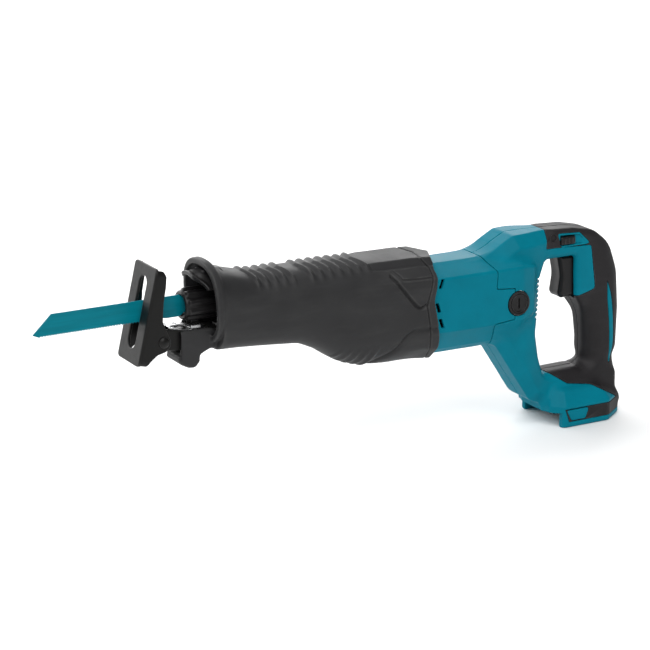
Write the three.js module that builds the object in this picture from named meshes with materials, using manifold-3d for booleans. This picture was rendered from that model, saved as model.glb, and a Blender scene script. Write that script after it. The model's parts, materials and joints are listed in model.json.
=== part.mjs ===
// A cordless reciprocating saw without its battery: blade and tool-less clamp, tilting shoe on a
// sliding bar, rubber boot over the gear case, scotch-yoke drive, brushed motor and a D-handle.
// Millimetres. The blade points to -X, the handle is at +X, Y runs across the saw, +Z is up.
// While drawing, x = 0 is the front of the shoe, y = 0 the middle plane and z = 0 the stroke axis.
// At the end the group is moved so that the origin is the bottom centre of the whole box.
import * as THREE from 'three';
import { mergeVertices } from 'three/addons/utils/BufferGeometryUtils.js';
import Module from 'manifold-3d';

const wasm = await Module();
wasm.setup();

// ---- driving dimensions -------------------------------------------------------------------

const GAP = 0.3; // between pieces that touch
const SPLIT = 0.15; // half of the gap on the middle plane between two casing halves

const STROKE = 32; // full travel of the blade
const CRANK_R = STROKE / 2;
const CRANK_X = 212; // vertical crank axis
const GEAR_TEETH = 40;
const PINION_TEETH = 8;
const MESH_R = 26; // mean radius of the crank gear's tooth ring
const PITCH_R = (MESH_R * PINION_TEETH) / GEAR_TEETH; // pinion pitch radius
const MOTOR_Z = -35; // motor axis
const GEAR_FACE_Z = MOTOR_Z + PITCH_R; // pitch plane of the crank gear's downward teeth

const BLADE = { tip: -96, length: 152, width: 19, thick: 1.3, pitch: 2.5, tooth: 1.1 };
const CLAMP = { front: 41, rear: 73, r: 14.5, bore: 10.2, mouth: 9.2 };
const SLIDER = {
  r: 9,
  front: 60,
  yokeHalfX: 14.6,
  yokeHalfY: 24.5,
  yokeBottom: -8,
  yokeTop: 6,
  slotTop: 1.5,
};
const ROLLER_R = 6;
const YOKE_CLEARANCE = 3.6; // free play of the roller in the yoke slot, each side

const SHOE = { width: 42, height: 81, sheet: 3, slot: 15, slotHeight: 62, lean: 13.2, flange: 18 };
const SHOE_PIN = { x: 13, z: -23.5, r: 4 };
const BAR = { halfY: 10.5, bottom: -33.5, top: -21.5, rear: 140 };

const BUTTON = { x: 46, z: -45.5, r: 2.8, near: -12.2, far: 13.5 };

const BOOT_WALL = 3.2;
const BOOT_REAR = 276;
const CASE_WALL = 3.5;
const CASE_FRONT = 96;
const CASE_REAR = 262;
const HOUSING = { half: 38, top: 7, bottom: -76, wall: 2.8 };
const BUSH_BORE = 13; // bores of the gear case for the two plunger bushes
const BUSH = { r: 12.7, front: [118.3, 139.7], rear: [160.3, 177.7] };
const BEARING = { r: 11, bore: 11.3, shaft: 4.3 };
const GRIP_SKIN = 2.2;

const MOTOR_BORE = 29.5;
const CAP = { x: 357, z: -34.7, r: 11.3, y: 38.6 };
const TRIGGER = { front: 417, rear: 437, top: -5, bottom: -45, half: 10.5, travel: 6 };
const FOOT = { half: 36, bottom: -163, shoulder: -143, top: -121, front: 404, rear: 486 };

// ---- colours --------------------------------------------------------------------------------

function finish(color, roughness, metalness = 0) {
  return new THREE.MeshStandardMaterial({ color, roughness, metalness });
}
const TEAL = finish(0x007186, 0.45);
const BLADE_TEAL = finish(0x00798a, 0.4, 0.2);
const RUBBER = finish(0x3c3c3e, 0.75);
const BLACK = finish(0x2b2a2c, 0.6);
const DARK_STEEL = finish(0x4a4a46, 0.5, 0.7);
const STEEL = finish(0xb8babc, 0.3, 1);
const CAST = finish(0x9a9c9e, 0.55, 0.8);
const COPPER = finish(0xb06a3c, 0.4, 1);
const BRASS = finish(0xb79a5a, 0.35, 1);
const CARBON = finish(0x222222, 0.8);

// ---- turning three.js geometry into solids and back -----------------------------------------

function solid(geometry) {
  const g = geometry.clone();
  g.deleteAttribute('normal');
  g.deleteAttribute('uv');
  const merged = mergeVertices(g, 1e-4);
  return new wasm.Manifold(
    new wasm.Mesh({
      numProp: 3,
      vertProperties: merged.attributes.position.array,
      triVerts: new Uint32Array(merged.index.array),
    }),
  );
}

function geometryOf(body) {
  const mesh = body.getMesh();
  const g = new THREE.BufferGeometry();
  g.setAttribute('position', new THREE.BufferAttribute(new Float32Array(mesh.vertProperties), 3));
  g.setIndex(new THREE.BufferAttribute(new Uint32Array(mesh.triVerts), 1));
  g.computeVertexNormals();
  return g;
}

function join(...bodies) {
  return bodies.reduce((a, b) => a.add(b));
}

// ---- simple solids --------------------------------------------------------------------------

function box(x0, x1, y0, y1, z0, z1) {
  const g = new THREE.BoxGeometry(x1 - x0, y1 - y0, z1 - z0);
  return solid(g.translate((x0 + x1) / 2, (y0 + y1) / 2, (z0 + z1) / 2));
}

// A solid of revolution: profile points are [radius, distance along the axis].
function turned(profile, axis, centre, segments = 18) {
  const g = new THREE.LatheGeometry(
    profile.map(([r, a]) => new THREE.Vector2(r, a)),
    segments,
  );
  if (axis === 'x') g.rotateZ(-Math.PI / 2);
  if (axis === 'z') g.rotateX(Math.PI / 2);
  return solid(g.translate(...centre));
}

function rod(axis, r, from, to, centre, segments = 18) {
  return turned([[0, from], [r, from], [r, to], [0, to]], axis, centre, segments);
}

function tube(axis, rOut, rIn, from, to, centre, segments = 18) {
  return rod(axis, rOut, from, to, centre, segments).subtract(
    rod(axis, rIn, from - 1, to + 1, centre, segments),
  );
}

function outline(points) {
  return new THREE.Shape(points.map(([x, z]) => new THREE.Vector2(x, z)));
}

// A side outline drawn in X and Z, with thickness from y0 to y1; a bevel rounds the two rims.
function slab(shape, y0, y1, bevel = 0) {
  const g = new THREE.ExtrudeGeometry(shape, {
    depth: y1 - y0 - 2 * bevel,
    curveSegments: 5,
    bevelEnabled: bevel > 0,
    bevelThickness: bevel,
    bevelSize: bevel,
    bevelOffset: -bevel,
    bevelSegments: 2,
  });
  return solid(g.rotateX(Math.PI / 2).translate(0, y1 - bevel, 0));
}

// An outline drawn in Y and Z, with thickness from x0 to x1.
function plate(shape, x0, x1) {
  const g = new THREE.ExtrudeGeometry(shape, { depth: x1 - x0, bevelEnabled: false, curveSegments: 5 });
  return solid(g.rotateZ(Math.PI / 2).rotateY(Math.PI / 2).translate(x0, 0, 0));
}

function roundedRect(halfW, halfH, r) {
  const s = new THREE.Shape();
  s.moveTo(-halfW + r, -halfH);
  s.lineTo(halfW - r, -halfH);
  s.absarc(halfW - r, -halfH + r, r, -Math.PI / 2, 0);
  s.lineTo(halfW, halfH - r);
  s.absarc(halfW - r, halfH - r, r, 0, Math.PI / 2);
  s.lineTo(-halfW + r, halfH);
  s.absarc(-halfW + r, halfH - r, r, Math.PI / 2, Math.PI);
  s.lineTo(-halfW, -halfH + r);
  s.absarc(-halfW + r, -halfH + r, r, Math.PI, 1.5 * Math.PI);
  return s;
}

// ---- lofts ----------------------------------------------------------------------------------

// Closed skin over rings of equal point counts. Each ring runs anticlockwise seen from the end
// that the rings advance towards.
function loft(rings) {
  const n = rings[0].length;
  const position = new Float32Array(rings.flat().flatMap((p) => [p.x, p.y, p.z]));
  const index = [];
  for (let i = 0; i + 1 < rings.length; i++) {
    for (let j = 0; j < n; j++) {
      const a = i * n + j;
      const b = i * n + ((j + 1) % n);
      index.push(a, b, a + n, b, b + n, a + n);
    }
  }
  const last = (rings.length - 1) * n;
  for (let j = 1; j + 1 < n; j++) {
    index.push(0, j + 1, j);
    index.push(last, last + j, last + j + 1);
  }
  const g = new THREE.BufferGeometry();
  g.setAttribute('position', new THREE.BufferAttribute(position, 3));
  g.setIndex(index);
  return solid(g);
}

// A rounded box outline (superellipse) around `centre`, spanned by the directions u and v.
function ring(centre, u, v, halfU, halfV, power, count) {
  const points = [];
  for (let i = 0; i < count; i++) {
    const t = (2 * Math.PI * (i + 0.5)) / count;
    const c = Math.cos(t);
    const s = Math.sin(t);
    const a = Math.sign(c) * Math.abs(c) ** (2 / power) * halfU;
    const b = Math.sign(s) * Math.abs(s) ** (2 / power) * halfV;
    points.push(centre.clone().addScaledVector(u, a).addScaledVector(v, b));
  }
  return points;
}

const X = new THREE.Vector3(1, 0, 0);
const Y = new THREE.Vector3(0, 1, 0);
const Z = new THREE.Vector3(0, 0, 1);

// Body along X: stations are [x, half width, top z, bottom z]; inset shrinks every station.
function barrel(stations, inset = 0, power = 3, count = 14) {
  return loft(
    stations.map(([x, half, top, bottom]) => {
      const centre = new THREE.Vector3(x, 0, (top + bottom) / 2);
      return ring(centre, Y, Z, half - inset, (top - bottom) / 2 - inset, power, count);
    }),
  );
}

// Limb along a bent path in the middle plane: stations are [x, z, half thickness, half width].
function limb(stations, inset = 0, power = 2.8, count = 10) {
  const at = stations.map(([x, z]) => new THREE.Vector3(x, 0, z));
  return loft(
    stations.map(([, , thick, wide], i) => {
      const before = at[Math.max(i - 1, 0)];
      const after = at[Math.min(i + 1, at.length - 1)];
      const along = after.clone().sub(before).normalize();
      const across = new THREE.Vector3().crossVectors(along, Y);
      return ring(at[i], across, Y.clone().negate(), thick - inset, wide - inset, power, count);
    }),
  );
}

// ---- boot and gear case ---------------------------------------------------------------------

// [x, half width, top, bottom]
const BOOT_STATIONS = [
  [64, 31, 31, -39],
  [85, 30.5, 26, -39.5],
  [105, 30.5, 21, -41],
  [145, 31, 21, -44],
  [165, 33, 20.5, -52],
  [185, 36, 20, -66],
  [205, 38, 19, -72.5],
  [228, 39, 18, -75.5],
  [258, 39.5, 17, -76.5],
  [263, 41, 18, -79],
  [BOOT_REAR + 4, 41, 15.5, -79.5],
];

// Rear rim of the boot: a shallow zigzag over the motor housing.
const BOOT_RIM = [
  [40, -110],
  [BOOT_REAR + 1, -110],
  [BOOT_REAR + 1, -55],
  [BOOT_REAR - 6, -20],
  [BOOT_REAR, 4],
  [BOOT_REAR - 8, 22],
  [BOOT_REAR - 8, 60],
  [40, 60],
];

function makeBoot() {
  const lip = barrel([
    [55, 33, 37, -39],
    [58, 34.5, 38.5, -40.5],
    [62, 34, 38, -40],
    [66, 31, 30.5, -39],
  ]);
  const tongue = slab(
    outline([[42, -30], [41.5, -48], [44, -53], [48, -53], [50.5, -49], [51, -42], [58, -38],
      [70, -38], [70, -30], [50, -28]]),
    -13,
    13,
    2,
  );
  const chin = box(45, 68, -9, 9, -44, -39.4);
  const mouth = barrel([
    [40, 29, 32.5, -34.5],
    [62, 29.5, 33, -35],
    [68, 27.7, 26.8, -35.5],
    [100, 27, 18, -36.8],
  ]);
  const inside = barrel(BOOT_STATIONS, BOOT_WALL).intersect(box(50, CASE_REAR + 1, -60, 60, -110, 60));
  const barSlot = box(30, 70, -BAR.halfY - 1.5, BAR.halfY + 1.5, -39.5, -20);
  const buttonBore = rod('y', BUTTON.r + GAP, -30, 30, [BUTTON.x, 0, BUTTON.z]);
  const rim = slab(outline(BOOT_RIM), -60, 60);
  return join(barrel(BOOT_STATIONS), lip, tongue, chin)
    .subtract(mouth)
    .subtract(inside)
    .subtract(motorDrum(-GAP))
    .subtract(barSlot)
    .subtract(buttonBore)
    .intersect(rim);
}

const CASE_STATIONS = BOOT_STATIONS.filter(([x]) => x > 90 && x < CASE_REAR);

function caseHull(inset) {
  const front = [CASE_FRONT + inset - BOOT_WALL, 30.5, 23, -40.4];
  const rear = [CASE_REAR, 39.5, 17, -76.5];
  return barrel([front, ...CASE_STATIONS, rear], inset);
}

const COVER = { x0: 186, x1: 240, half: 23, z: -68, boss: 14 };
const CHAMBER_FRONT = 176; // the hollow of the gear case lies behind the rear bush

function makeGearCase() {
  const outer = caseHull(BOOT_WALL + GAP);
  const room = box(CHAMBER_FRONT, CASE_REAR - 8, -60, 60, -90, 60);
  const chamber = caseHull(BOOT_WALL + GAP + CASE_WALL).intersect(room);
  const bushBores = join(
    rod('x', BUSH_BORE, BUSH.front[0] - GAP, BUSH.front[1] + GAP, [0, 0, 0]),
    rod('x', BUSH_BORE, BUSH.rear[0] - GAP, BUSH.rear[1] + GAP, [0, 0, 0]),
    rod('x', SLIDER.r + 1, CASE_FRONT - 10, BUSH.rear[1] + GAP, [0, 0, 0]),
    rod('x', 14, CASE_FRONT - 10, 108, [0, 0, 0]),
  );
  const barTunnel = box(
    CASE_FRONT - 10,
    BAR.rear + 6,
    -BAR.halfY - GAP,
    BAR.halfY + GAP,
    BAR.bottom - GAP,
    BAR.top + GAP,
  );
  const coverHole = box(COVER.x0, COVER.x1, -COVER.half, COVER.half, -90, COVER.z + 4);
  const bearingBore = rod('x', BEARING.bore, CASE_REAR - 12, CASE_REAR + 2, [0, 0, MOTOR_Z]);
  return outer
    .subtract(chamber)
    .subtract(bushBores)
    .subtract(barTunnel)
    .subtract(coverHole)
    .subtract(rod('z', COVER.boss + GAP, -70, -50, [CRANK_X, 0, 0]))
    .subtract(bearingBore);
}

function makeCaseCover() {
  const floor = box(
    COVER.x0 + GAP,
    COVER.x1 - GAP,
    -COVER.half + GAP,
    COVER.half - GAP,
    COVER.z - 8,
    COVER.z + 3,
  ).intersect(caseHull(BOOT_WALL + GAP));
  const boss = rod('z', COVER.boss, COVER.z + 2, -50, [CRANK_X, 0, 0]);
  const bore = rod('z', BEARING.bore, -60, -45, [CRANK_X, 0, 0]);
  return join(floor, boss).subtract(bore);
}

// ---- crank drive ----------------------------------------------------------------------------

function makeCrankGear() {
  const rimR = MESH_R + 3.5;
  const disc = rod('z', rimR, GEAR_FACE_Z + 1, GEAR_FACE_Z + 6.5, [CRANK_X, 0, 0], 40);
  const teeth = [];
  for (let i = 0; i < GEAR_TEETH; i++) {
    const s = new THREE.Shape([
      new THREE.Vector2(-1.0, 2),
      new THREE.Vector2(-0.55, -0.7),
      new THREE.Vector2(0.55, -0.7),
      new THREE.Vector2(1.0, 2),
    ]);
    const g = new THREE.ExtrudeGeometry(s, { depth: 5, bevelEnabled: false });
    g.rotateZ(Math.PI / 2).rotateY(Math.PI / 2);
    g.translate(MESH_R - 2.5, 0, 0);
    g.rotateZ((2 * Math.PI * (i + 0.5)) / GEAR_TEETH);
    g.translate(CRANK_X, 0, GEAR_FACE_Z);
    teeth.push(solid(g));
  }
  const weight = rod('z', 11, 6, 9.5, [CRANK_X, -10, GEAR_FACE_Z]);
  const bore = rod('z', 6, -20, 20, [CRANK_X, 0, GEAR_FACE_Z]);
  const pinBore = rod('z', 4, -20, 20, [CRANK_X, CRANK_R, GEAR_FACE_Z]);
  return join(disc, ...teeth, weight).subtract(bore).subtract(pinBore);
}

function makeCrankShaft() {
  const collar = GEAR_FACE_Z - 2;
  return turned(
    [[0, -59], [5, -59], [5, -48], [7, -48], [7, collar], [5.7, collar], [5.7, -20], [0, -20]],
    'z',
    [CRANK_X, 0, 0],
  );
}

function makeCrankPin() {
  return turned([[0, -28], [3.7, -28], [3.7, 0.9], [0, 0.9]], 'z', [CRANK_X, CRANK_R, 0], 16);
}

function makeBevelPinion() {
  const x0 = CRANK_X + MESH_R - 2.5;
  const core = rod('x', PITCH_R - 0.9, x0, x0 + 5, [0, 0, MOTOR_Z], 16);
  const hub = rod('x', 4.3, x0 + 5, x0 + 9, [0, 0, MOTOR_Z], 16);
  const teeth = [];
  for (let i = 0; i < PINION_TEETH; i++) {
    const s = new THREE.Shape([
      new THREE.Vector2(-0.8, PITCH_R - 1.6),
      new THREE.Vector2(0.8, PITCH_R - 1.6),
      new THREE.Vector2(0.45, PITCH_R + 0.6),
      new THREE.Vector2(-0.45, PITCH_R + 0.6),
    ]);
    const g = new THREE.ExtrudeGeometry(s, { depth: 5, bevelEnabled: false });
    g.rotateZ(Math.PI / 2).rotateY(Math.PI / 2).rotateX(Math.PI / 2);
    g.rotateX((2 * Math.PI * i) / PINION_TEETH).translate(x0, 0, MOTOR_Z);
    teeth.push(solid(g));
  }
  return join(core, hub, ...teeth).subtract(rod('x', 2.5, x0 - 5, x0 + 20, [0, 0, MOTOR_Z], 16));
}

// Steel plunger with a cross slot for the crank roller at its rear and a socket for the blade.
function makeSlider() {
  const { r, front, yokeHalfX, yokeHalfY, yokeBottom, yokeTop, slotTop } = SLIDER;
  const shaft = rod('x', r, front, CRANK_X - yokeHalfX + 1, [0, 0, 0]);
  const section = outline([
    [-yokeHalfY, yokeBottom],
    [yokeHalfY, yokeBottom],
    [yokeHalfY, 0],
    [yokeHalfY - 8, yokeTop],
    [8 - yokeHalfY, yokeTop],
    [-yokeHalfY, 0],
  ]);
  const yoke = plate(section, CRANK_X - yokeHalfX, CRANK_X + yokeHalfX);
  const slotHalf = ROLLER_R + YOKE_CLEARANCE;
  const slot = box(
    CRANK_X - slotHalf,
    CRANK_X + slotHalf,
    -CRANK_R - ROLLER_R - 1,
    CRANK_R + ROLLER_R + 1,
    yokeBottom - 1,
    slotTop,
  );
  return join(shaft, yoke).subtract(slot);
}

// ---- blade and clamp ------------------------------------------------------------------------

function makeBlade() {
  const { tip, length, width, thick, pitch, tooth } = BLADE;
  const half = width / 2;
  const rear = tip + length;
  const points = [[tip + 17, half], [tip, -half + 3], [tip + 3.5, -half + tooth]];
  for (let x = tip + 6; x < 20; x += pitch) {
    points.push([x, -half]);
    points.push([x + 0.4 * pitch, -half + tooth]);
  }
  points.push([26, -half], [38, -half], [43, -6], [rear, -6], [rear, 6], [43, 6], [38, half]);
  const hole = new THREE.Path();
  hole.absarc(50, 0, 2.6, 0, 2 * Math.PI);
  const s = outline(points);
  s.holes.push(hole);
  return slab(s, -thick / 2, thick / 2);
}

// Fixed end of the clamp on the plunger: a slotted holder for the blade's tang.
function makeBladeHolder() {
  const body = rod('x', 9.6, CLAMP.front + 2, SLIDER.front - GAP, [0, 0, 0]);
  const slit = box(CLAMP.front, 57, -0.95, 0.95, -6.4, 6.4);
  const mouth = box(CLAMP.front, 44, -0.95, 0.95, -12, 12);
  const pinHole = rod('y', 2.6, -20, 20, [50, 0, 0], 16);
  return body.subtract(slit).subtract(mouth).subtract(pinHole);
}

function makeClampPin() {
  return rod('y', 2.2, -9, 9, [50, 0, 0], 12);
}

// Ribbed sleeve that turns on the holder to free the blade.
function makeClampSleeve() {
  const { front, rear, r, bore, mouth } = CLAMP;
  const body = turned(
    [[0, front], [r - 2.5, front], [r - 0.8, front + 1.5], [r - 0.8, rear - 3], [r - 2.5, rear], [0, rear]],
    'x',
    [0, 0, 0],
    24,
  );
  const ribs = [];
  for (let i = 0; i < 12; i++) {
    const g = new THREE.BoxGeometry(26, 2.4, 2.4).translate((front + rear) / 2 + 1, 0, r - 1.4);
    ribs.push(solid(g.rotateX((2 * Math.PI * (i + 0.5)) / 12)));
  }
  return join(body, ...ribs)
    .subtract(rod('x', bore, front + 1.6, rear + 1, [0, 0, 0], 24))
    .subtract(rod('x', mouth, front - 1, front + 2, [0, 0, 0], 24));
}

// Two open turns of torsion spring round the plunger behind the clamp.
function makeClampSpring() {
  const turns = 2;
  const points = [];
  const steps = 12 * turns;
  for (let i = 0; i <= steps; i++) {
    const a = (2 * Math.PI * turns * i) / steps;
    points.push(new THREE.Vector3(62 + (9 * i) / steps, 9.75 * Math.cos(a), 9.75 * Math.sin(a)));
  }
  const path = new THREE.CatmullRomCurve3(points);
  const wire = new THREE.Shape();
  wire.absarc(0, 0, 0.35, 0, 2 * Math.PI);
  const sweep = { steps, extrudePath: path, curveSegments: 3, bevelEnabled: false };
  return solid(new THREE.ExtrudeGeometry(wire, sweep));
}

// ---- shoe -----------------------------------------------------------------------------------

// Pressed plate with two side flanges; drawn upright round the pin and then leant back.
function makeShoe() {
  const { width, height, sheet, slot, slotHeight, lean, flange } = SHOE;
  const face = roundedRect(width / 2, height / 2, 6);
  const window_ = new THREE.Path();
  const reach = slotHeight / 2 - slot / 2;
  window_.absarc(0, reach, slot / 2, 0, Math.PI);
  window_.absarc(0, -reach, slot / 2, Math.PI, 2 * Math.PI);
  face.holes.push(window_);
  const front = plate(face, 0, sheet);
  const side = outline([
    [0.5, height / 2 - 6],
    [9, height / 2 - 3],
    [10, height / 2 - 6],
    [10.5, 14],
    [13.5, -2],
    [flange + 1, -11],
    [flange + 6, -17],
    [flange + 7, -23],
    [flange + 3, -28.5],
    [flange - 3, -31.5],
    [flange - 6, -36],
    [flange - 8, -height / 2 + 1],
    [0.5, -height / 2 + 6],
  ]);
  const flanges = [-1, 1].map((s) => {
    const inner = s * (width / 2 - sheet);
    const outer = (s * width) / 2;
    return slab(side, Math.min(inner, outer), Math.max(inner, outer));
  });
  const pivot = new THREE.Vector2(SHOE_PIN.x, SHOE_PIN.z);
  const local = pivot.clone().rotateAround(new THREE.Vector2(0, 0), THREE.MathUtils.degToRad(lean));
  const bore = rod('y', SHOE_PIN.r + GAP, -40, 40, [local.x, 0, local.y], 20);
  const g = geometryOf(join(front, ...flanges).subtract(bore));
  g.rotateY(THREE.MathUtils.degToRad(lean));
  return solid(g);
}

function makeShoePin() {
  const { x, z, r } = SHOE_PIN;
  const headFrom = SHOE.width / 2 + GAP;
  return turned(
    [[0, -headFrom - 2.2], [4.6, -headFrom - 2.2], [5.2, -headFrom - 1.4], [5.2, -headFrom], [r, -headFrom],
      [r, headFrom], [5.2, headFrom], [5.2, headFrom + 1.4], [4.6, headFrom + 2.2], [0, headFrom + 2.2]],
    'y',
    [x, 0, z],
    20,
  );
}

// Flat steel bar that carries the shoe and slides in the gear case; its nose is a round eye.
function makeShoeBar() {
  const shape = outline([
    [20, -16.5],
    [34, -19.5],
    [60, BAR.top],
    [BAR.rear, BAR.top],
    [BAR.rear, BAR.bottom],
    [60, BAR.bottom],
    [40, -37],
    [14, -34.5],
    [8, -31],
    [7, -26],
    [8, -19],
    [13, -16.5],
  ]);
  const bar = slab(shape, -BAR.halfY, BAR.halfY, 0.8);
  return bar.subtract(rod('y', SHOE_PIN.r + GAP, -30, 30, [SHOE_PIN.x, 0, SHOE_PIN.z], 20));
}

// Bright spring plate on top of the bar, under the clamp.
function makeBarSpring() {
  const shape = outline([
    [22, -16.4],
    [34, -19],
    [56, -20.9],
    [56, -19.4],
    [36, -17.6],
    [30, -17.1],
    [26, -15.6],
    [22, -15.2],
  ]);
  return slab(shape, -8, 8);
}

function makeShoeButton() {
  return rod('y', BUTTON.r, BUTTON.near, BUTTON.far, [BUTTON.x, 0, BUTTON.z], 16);
}

// Arched guard over the clamp, on a ring screwed to the front of the gear case.
function makeNoseGuard() {
  const arch = tube('x', 27.5, 25, 50, 63, [0, 0, 2], 32).intersect(box(40, 80, -40, 40, 18, 60));
  const strap = slab(
    outline([[58, 29], [62.5, 29], [65, 25.2], [85, 20.2], [93, 18], [93, 14], [84, 17.8],
      [64, 23], [61, 25.5], [58, 26]]),
    -8,
    8,
  );
  const ringPlate = tube('x', 19, 12, CASE_FRONT - 4, CASE_FRONT - 1, [0, 0, 0], 24);
  return join(arch, strap, ringPlate);
}

// ---- motor ----------------------------------------------------------------------------------

function makeArmatureShaft() {
  return turned(
    [[0, 233], [2.3, 233], [2.3, 248], [4, 248], [4, 360], [3, 360], [3, 372], [0, 372]],
    'x',
    [0, 0, MOTOR_Z],
  );
}

function makeArmatureCore() {
  const drum = tube('x', 17.5, 4.2, 288, 330, [0, 0, MOTOR_Z], 24);
  const slots = [];
  for (let i = 0; i < 12; i++) {
    const g = new THREE.BoxGeometry(60, 2, 6).translate(309, 0, 16);
    slots.push(solid(g.rotateX((2 * Math.PI * i) / 12).translate(0, 0, MOTOR_Z)));
  }
  return slots.reduce((body, cut) => body.subtract(cut), drum);
}

function makeFan() {
  const hub = tube('x', 9, 4.2, 271, 281, [0, 0, MOTOR_Z]);
  const disc = tube('x', 27, 8, 279, 281, [0, 0, MOTOR_Z], 32);
  const blades = [];
  for (let i = 0; i < 11; i++) {
    const g = new THREE.BoxGeometry(8.5, 1.4, 18).translate(275.5, 0, 17);
    blades.push(solid(g.rotateX((2 * Math.PI * i) / 11).translate(0, 0, MOTOR_Z)));
  }
  return join(hub, disc, ...blades);
}

function makeBearing(from, to, rOut, rIn) {
  return tube('x', rOut, rIn, from, to, [0, 0, MOTOR_Z], 24);
}

function makeMagnet(side) {
  const ringShape = tube('x', 25.6, 19.2, 286, 332, [0, 0, MOTOR_Z], 36);
  const half = side < 0 ? box(280, 340, -40, -5, -80, 20) : box(280, 340, 5, 40, -80, 20);
  return ringShape.intersect(half);
}

function makeBrushHolder(side) {
  const y = [15, CAP.y - 4].map((v) => side * v).sort((a, b) => a - b);
  const body = box(CAP.x - 6, CAP.x + 6, y[0], y[1], CAP.z - 5, CAP.z + 5);
  return body.subtract(box(CAP.x - 4.3, CAP.x + 4.3, -60, 60, CAP.z - 3.3, CAP.z + 3.3));
}

function makeBrush(side) {
  const y = [11.4, 25].map((v) => side * v).sort((a, b) => a - b);
  return box(CAP.x - 4, CAP.x + 4, y[0], y[1], CAP.z - 3, CAP.z + 3);
}

// Screwed cap over a brush, with a screwdriver slot.
function makeBrushCap(side) {
  const { x, z, r, y } = CAP;
  const edge = r - 0.5;
  const profile = [[0, y - 3.6], [edge, y - 3.6], [edge, y - 0.6], [edge - 0.7, y], [0, y]];
  const cap = turned(profile, 'y', [0, 0, 0], 32);
  const slot = box(-1.1, 1.1, y - 1.6, y + 1, -7, 7);
  const g = geometryOf(cap.subtract(slot));
  if (side < 0) g.rotateZ(Math.PI);
  return solid(g.translate(x, 0, z));
}

// ---- housing and handle ---------------------------------------------------------------------

// The drum round the motor; its front end sits inside the boot's rear rim.
function motorDrum(inset) {
  const { half, top, bottom } = HOUSING;
  return barrel(
    [
      [262, half - 3, top - 2, bottom + 2.5],
      [280, half - 0.5, top, bottom + 0.5],
      [325, half, top, bottom],
      [362, half, top, bottom + 1],
      [377, half - 5, top - 4, bottom + 8],
      [388 - inset, half - 14, top - 9, bottom + 20],
    ],
    inset,
  );
}

// The outer form of motor housing and handle together, shrunk by `inset`.
function hull(inset) {
  const arm = limb(
    [
      [318, -12, 14, 30],
      [346, 2, 16, 26],
      [374, 8, 13.5, 18.5],
      [405, 7, 13, 17.5],
      [434, 1.5, 14.5, 17.5],
      [453.5, -8, 17.5, 17.5],
      [463, -28, 20.5, 17],
      [466.5, -60, 20, 16.5],
      [467.5, -98, 19.6, 17],
      [466.5, -126, 19, 18],
      [464, -150, 18, 18],
    ],
    inset,
  );
  const shoulder = slab(
    outline([[426 + inset, 4], [429 + inset, -44 + inset], [440, -52 + inset], [462, -54 + inset], [462, 4]]),
    -17 + inset,
    17 - inset,
    2,
  );
  const strut = limb(
    [
      [352, -48, 30, 33],
      [366, -72, 24, 27],
      [374, -92, 16.5, 24.5],
      [386, -112, 14.5, 25],
      [402, -128, 14.5, 28],
      [424, -138, 16, 30],
    ],
    inset,
    3.4,
  );
  return join(motorDrum(inset), arm, shoulder, strut, foot(inset));
}

function foot(inset) {
  const { half, bottom, shoulder, top, front, rear } = FOOT;
  const level = (z, x0, x1, w) =>
    ring(new THREE.Vector3((x0 + x1) / 2, 0, z), X, Y, (x1 - x0) / 2 - inset, w - inset, 7, 12);
  return loft([
    level(bottom + inset, front + 7, rear - 5, half - 2),
    level(bottom + 4, front + 3, rear - 1, half),
    level(shoulder, front, rear, half),
    level(shoulder + 3, front - 1, rear - 2, half - 1),
    level(top - inset, front - 2, rear - 4, 19),
  ]);
}

// Side outline of everything that belongs to the motor housing: the joint line climbs from the
// top seam, steps back to the brush cap and returns to the bottom.
function motorRegion(grow) {
  const g = grow;
  return slab(
    outline([
      [240, 60],
      [316 + g, 60],
      [318 + g, 18],
      [328 + g, 9],
      [334 + g, -3],
      [333 + g, -19 + g],
      [CAP.x - 4, -21 + g],
      [CAP.x - 4 + g, -26 + g],
      [CAP.x - 4 + g, -44 - g],
      [CAP.x - 4, -49 - g],
      [331.5 + g, -50.5 - g],
      [328 + g, -70],
      [328 + g, -110],
      [240, -110],
    ]),
    -60,
    60,
  );
}

// Side outline of the soft grip: back of the arm, the grip and the saddle above the foot.
function skinRegion(grow) {
  const g = grow;
  return slab(
    outline([
      [396 - g, 40],
      [398 - g, 2 - g],
      [450 - g, -1 - g],
      [455 - g, -40 + g],
      [430 - g, -46 + g],
      [425 - g, -70],
      [425 - g, -117],
      [414 - g, -119],
      [428, -122.5 - g],
      [448, -124 - g],
      [466, -141 - g],
      [500, -142 - g],
      [520, -60],
      [520, 40],
    ]),
    -60,
    60,
  );
}

function cavity() {
  const wall = HOUSING.wall;
  const inner = hull(GRIP_SKIN + GAP + wall);
  const motorSpace = rod('x', MOTOR_BORE, 258, 376, [0, 0, MOTOR_Z], 32);
  const bottomSeal = box(380, 520, -60, 60, -170, -146);
  return join(inner.subtract(bottomSeal), motorSpace);
}

const CHANNEL = { half: 28.5, z: -149, front: 390, rear: 478 };

function batteryChannel() {
  const { half, z, front, rear } = CHANNEL;
  const slot = box(front, rear, -half, half, -180, z);
  const rails = [-1, 1].map((s) => {
    const y = [s * (half - 3), s * (half + 1)].sort((a, b) => a - b);
    return box(front - 5, rear - 8, y[0], y[1], -159, -156);
  });
  return rails.reduce((body, rail) => body.subtract(rail), slot);
}

const TERMINAL = { x0: 410, x1: 452, half: 15, z0: -148.7, z1: -146.3 };

// Opening in the floor of the handle that holds the terminal block, a little larger all round.
function terminalSeat() {
  const { x0, x1, half, z0, z1 } = TERMINAL;
  return box(x0 - 0.4, x1 + 0.4, -half - 0.4, half + 0.4, z0 - 1.3, z1 + 0.5);
}

function triggerWindow() {
  const { front, rear, top, bottom, half, travel } = TRIGGER;
  const wide = half + 0.6;
  return box(front - 20, rear + travel + 3, -wide, wide, bottom - 0.8, top + 0.8);
}

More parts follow.
